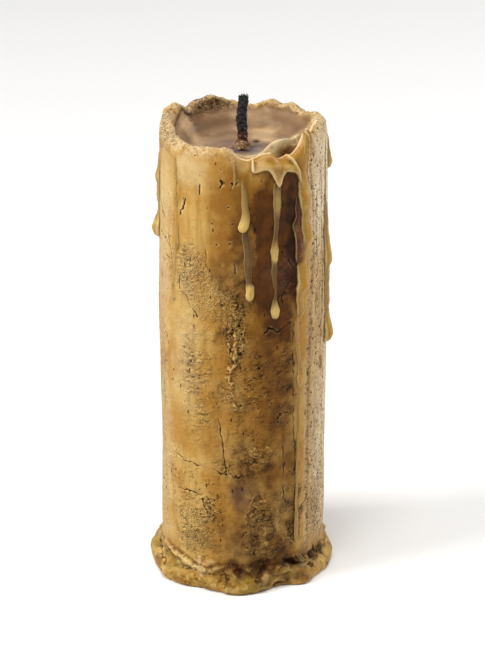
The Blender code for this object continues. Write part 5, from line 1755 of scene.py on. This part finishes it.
@dataclass(frozen=True)
class SweepFinish:
    """The studio's matt white paper sweep."""

    paper: str = "#f4f3f1"
    paper_low: str = "#f0efed"
    roughness: float = 0.9
    bump_depth: float = 0.01

    def material(self) -> bpy.types.Material:
        """Matt paper with a faint tooth."""
        sweep = Layers("white_paper")
        tooth = sweep.noise(2.5)
        sweep.colour = sweep.laid(self.paper, self.paper_low, tooth)
        return sweep.finish(self.roughness + tooth * 0.05, tooth, self.bump_depth)


# ---------------------------------------------------------------- studio


@dataclass(frozen=True)
class SoftBox:
    """A soft square light that looks at the candle."""

    name: str
    azimuth: float
    elevation: float
    distance: float
    size: float
    power: float
    colour: str = "#ffffff"
    behind: float = 0.0

    def hang(self, middle: float) -> None:
        """Hangs the light at its azimuth, 0 in front and 90 at the right, turned to the candle or to
        the floor so far behind it.

        Args:
            middle: The height of the candle's middle.
        """
        target = (0.0, self.behind, 0.0 if self.behind else middle)
        data = bpy.data.lights.new(self.name, "AREA")
        data.shape = "SQUARE"
        data.size = self.size
        data.energy = self.power
        data.color = linear(self.colour)[:3]
        light = bpy.data.objects.new(self.name, data)
        azimuth, elevation = math.radians(self.azimuth), math.radians(self.elevation)
        flat = self.distance * math.cos(elevation)
        light.location = (
            target[0] + flat * math.sin(azimuth),
            target[1] - flat * math.cos(azimuth),
            target[2] + self.distance * math.sin(elevation),
        )
        light.rotation_euler = (math.pi / 2 - elevation, 0.0, azimuth)
        bpy.context.scene.collection.objects.link(light)


@dataclass
class Studio:
    """The pale floor, the soft lights and the camera."""

    floor_side: float = 6.0
    floor_lines: int = 9
    floor_gap: float = 0.00002
    camera_back: float = 1.050
    camera_height: float = 0.507
    camera_pitch: float = 21.57
    focal: float = 171.1
    sensor: float = 36.0
    sky: str = "#ffffff"
    sky_strength: float = 0.3
    lights: tuple[SoftBox, ...] = (
        SoftBox("key", -70, 36, 1.3, 0.5, 14.0),
        SoftBox("right", 108, 22, 1.2, 0.4, 7.5),
        SoftBox("top", -14, 76, 1.2, 0.35, 7.0),
        SoftBox("backdrop", 180, 80, 2.0, 2.0, 18.0, behind=2.4),
    )

    def build(self, middle: float) -> None:
        """Builds the floor, the world, the lights and the camera.

        Args:
            middle: The height that the lights look at.
        """
        floor = self.floor()
        floor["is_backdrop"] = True
        world = bpy.data.worlds.new("sky")
        world.use_nodes = True
        background = world.node_tree.nodes["Background"]
        background.inputs["Color"].default_value = linear(self.sky)
        background.inputs["Strength"].default_value = self.sky_strength
        bpy.context.scene.world = world
        for light in self.lights:
            light.hang(middle)
        data = bpy.data.cameras.new("camera")
        data.lens = self.focal
        data.sensor_fit = "VERTICAL"
        data.sensor_height = self.sensor
        data.clip_end = 20.0
        camera = bpy.data.objects.new("camera", data)
        camera.location = (0.0, -self.camera_back, self.camera_height)
        camera.rotation_euler = (math.radians(90 - self.camera_pitch), 0.0, 0.0)
        bpy.context.scene.collection.objects.link(camera)
        bpy.context.scene.camera = camera
        bpy.context.scene.view_settings.view_transform = "Standard"

    def floor(self) -> bpy.types.Object:
        """The floor: a flat grid, just below the candle's foot."""
        half = self.floor_side / 2
        line = np.linspace(-half, half, self.floor_lines)
        across, deep = np.meshgrid(line, line)
        points = np.stack([across, deep, 0 * across - self.floor_gap], -1).reshape(-1, 3)
        index = np.arange(across.size).reshape(across.shape)
        faces = np.stack([index[:-1, :-1], index[:-1, 1:], index[1:, 1:], index[1:, :-1]], -1)
        mesh = bpy.data.meshes.new("floor")
        mesh.from_pydata(points.tolist(), [], faces.reshape(-1, 4).tolist())
        mesh.materials.append(SweepFinish().material())
        floor = bpy.data.objects.new("floor", mesh)
        bpy.context.scene.collection.objects.link(floor)
        return floor


def place_piece(mesh: bpy.types.Mesh, name: str, material: bpy.types.Material) -> bpy.types.Object:
    """Makes a mesh a piece of the candle, which rides on its one body.

    Args:
        mesh: The finished mesh.
        name: The piece's name.
        material: Its finish.

    Returns:
        The piece.
    """
    mesh.name = name
    mesh.materials.clear()
    mesh.materials.append(material)
    piece = bpy.data.objects.new(name, mesh)
    bpy.context.scene.collection.objects.link(piece)
    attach(piece, BODY)
    log.info("%s: %d faces", name, len(mesh.polygons))
    return piece


def main() -> None:
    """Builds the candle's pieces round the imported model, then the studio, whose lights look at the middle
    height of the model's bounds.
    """
    logging.basicConfig(level=logging.INFO, format="%(name)s: %(message)s")
    for leftover in list(bpy.data.objects):
        bpy.data.objects.remove(leftover)
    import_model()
    cad_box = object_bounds()
    detail = Detail.FULL

    pillar = Pillar(detail)
    wax = place_piece(pillar.mesh(), "wax", BeeswaxFinish().material())
    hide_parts("wax_body")
    runs = place_piece(Runs(pillar).mesh(), "wax_runs", FreshRunFinish().material())

    char_material = CharredCottonFinish().material()
    wick = Wick()
    braid = place_piece(wick.braid(), "wick_braid", char_material)
    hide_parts("wick")
    fibres = place_piece(wick.fibre_mesh(), "wick_fibres", char_material)

    low, high = cad_box
    Studio().build((low[2] + high[2]) / 2)


if __name__ == "__main__":
    main()
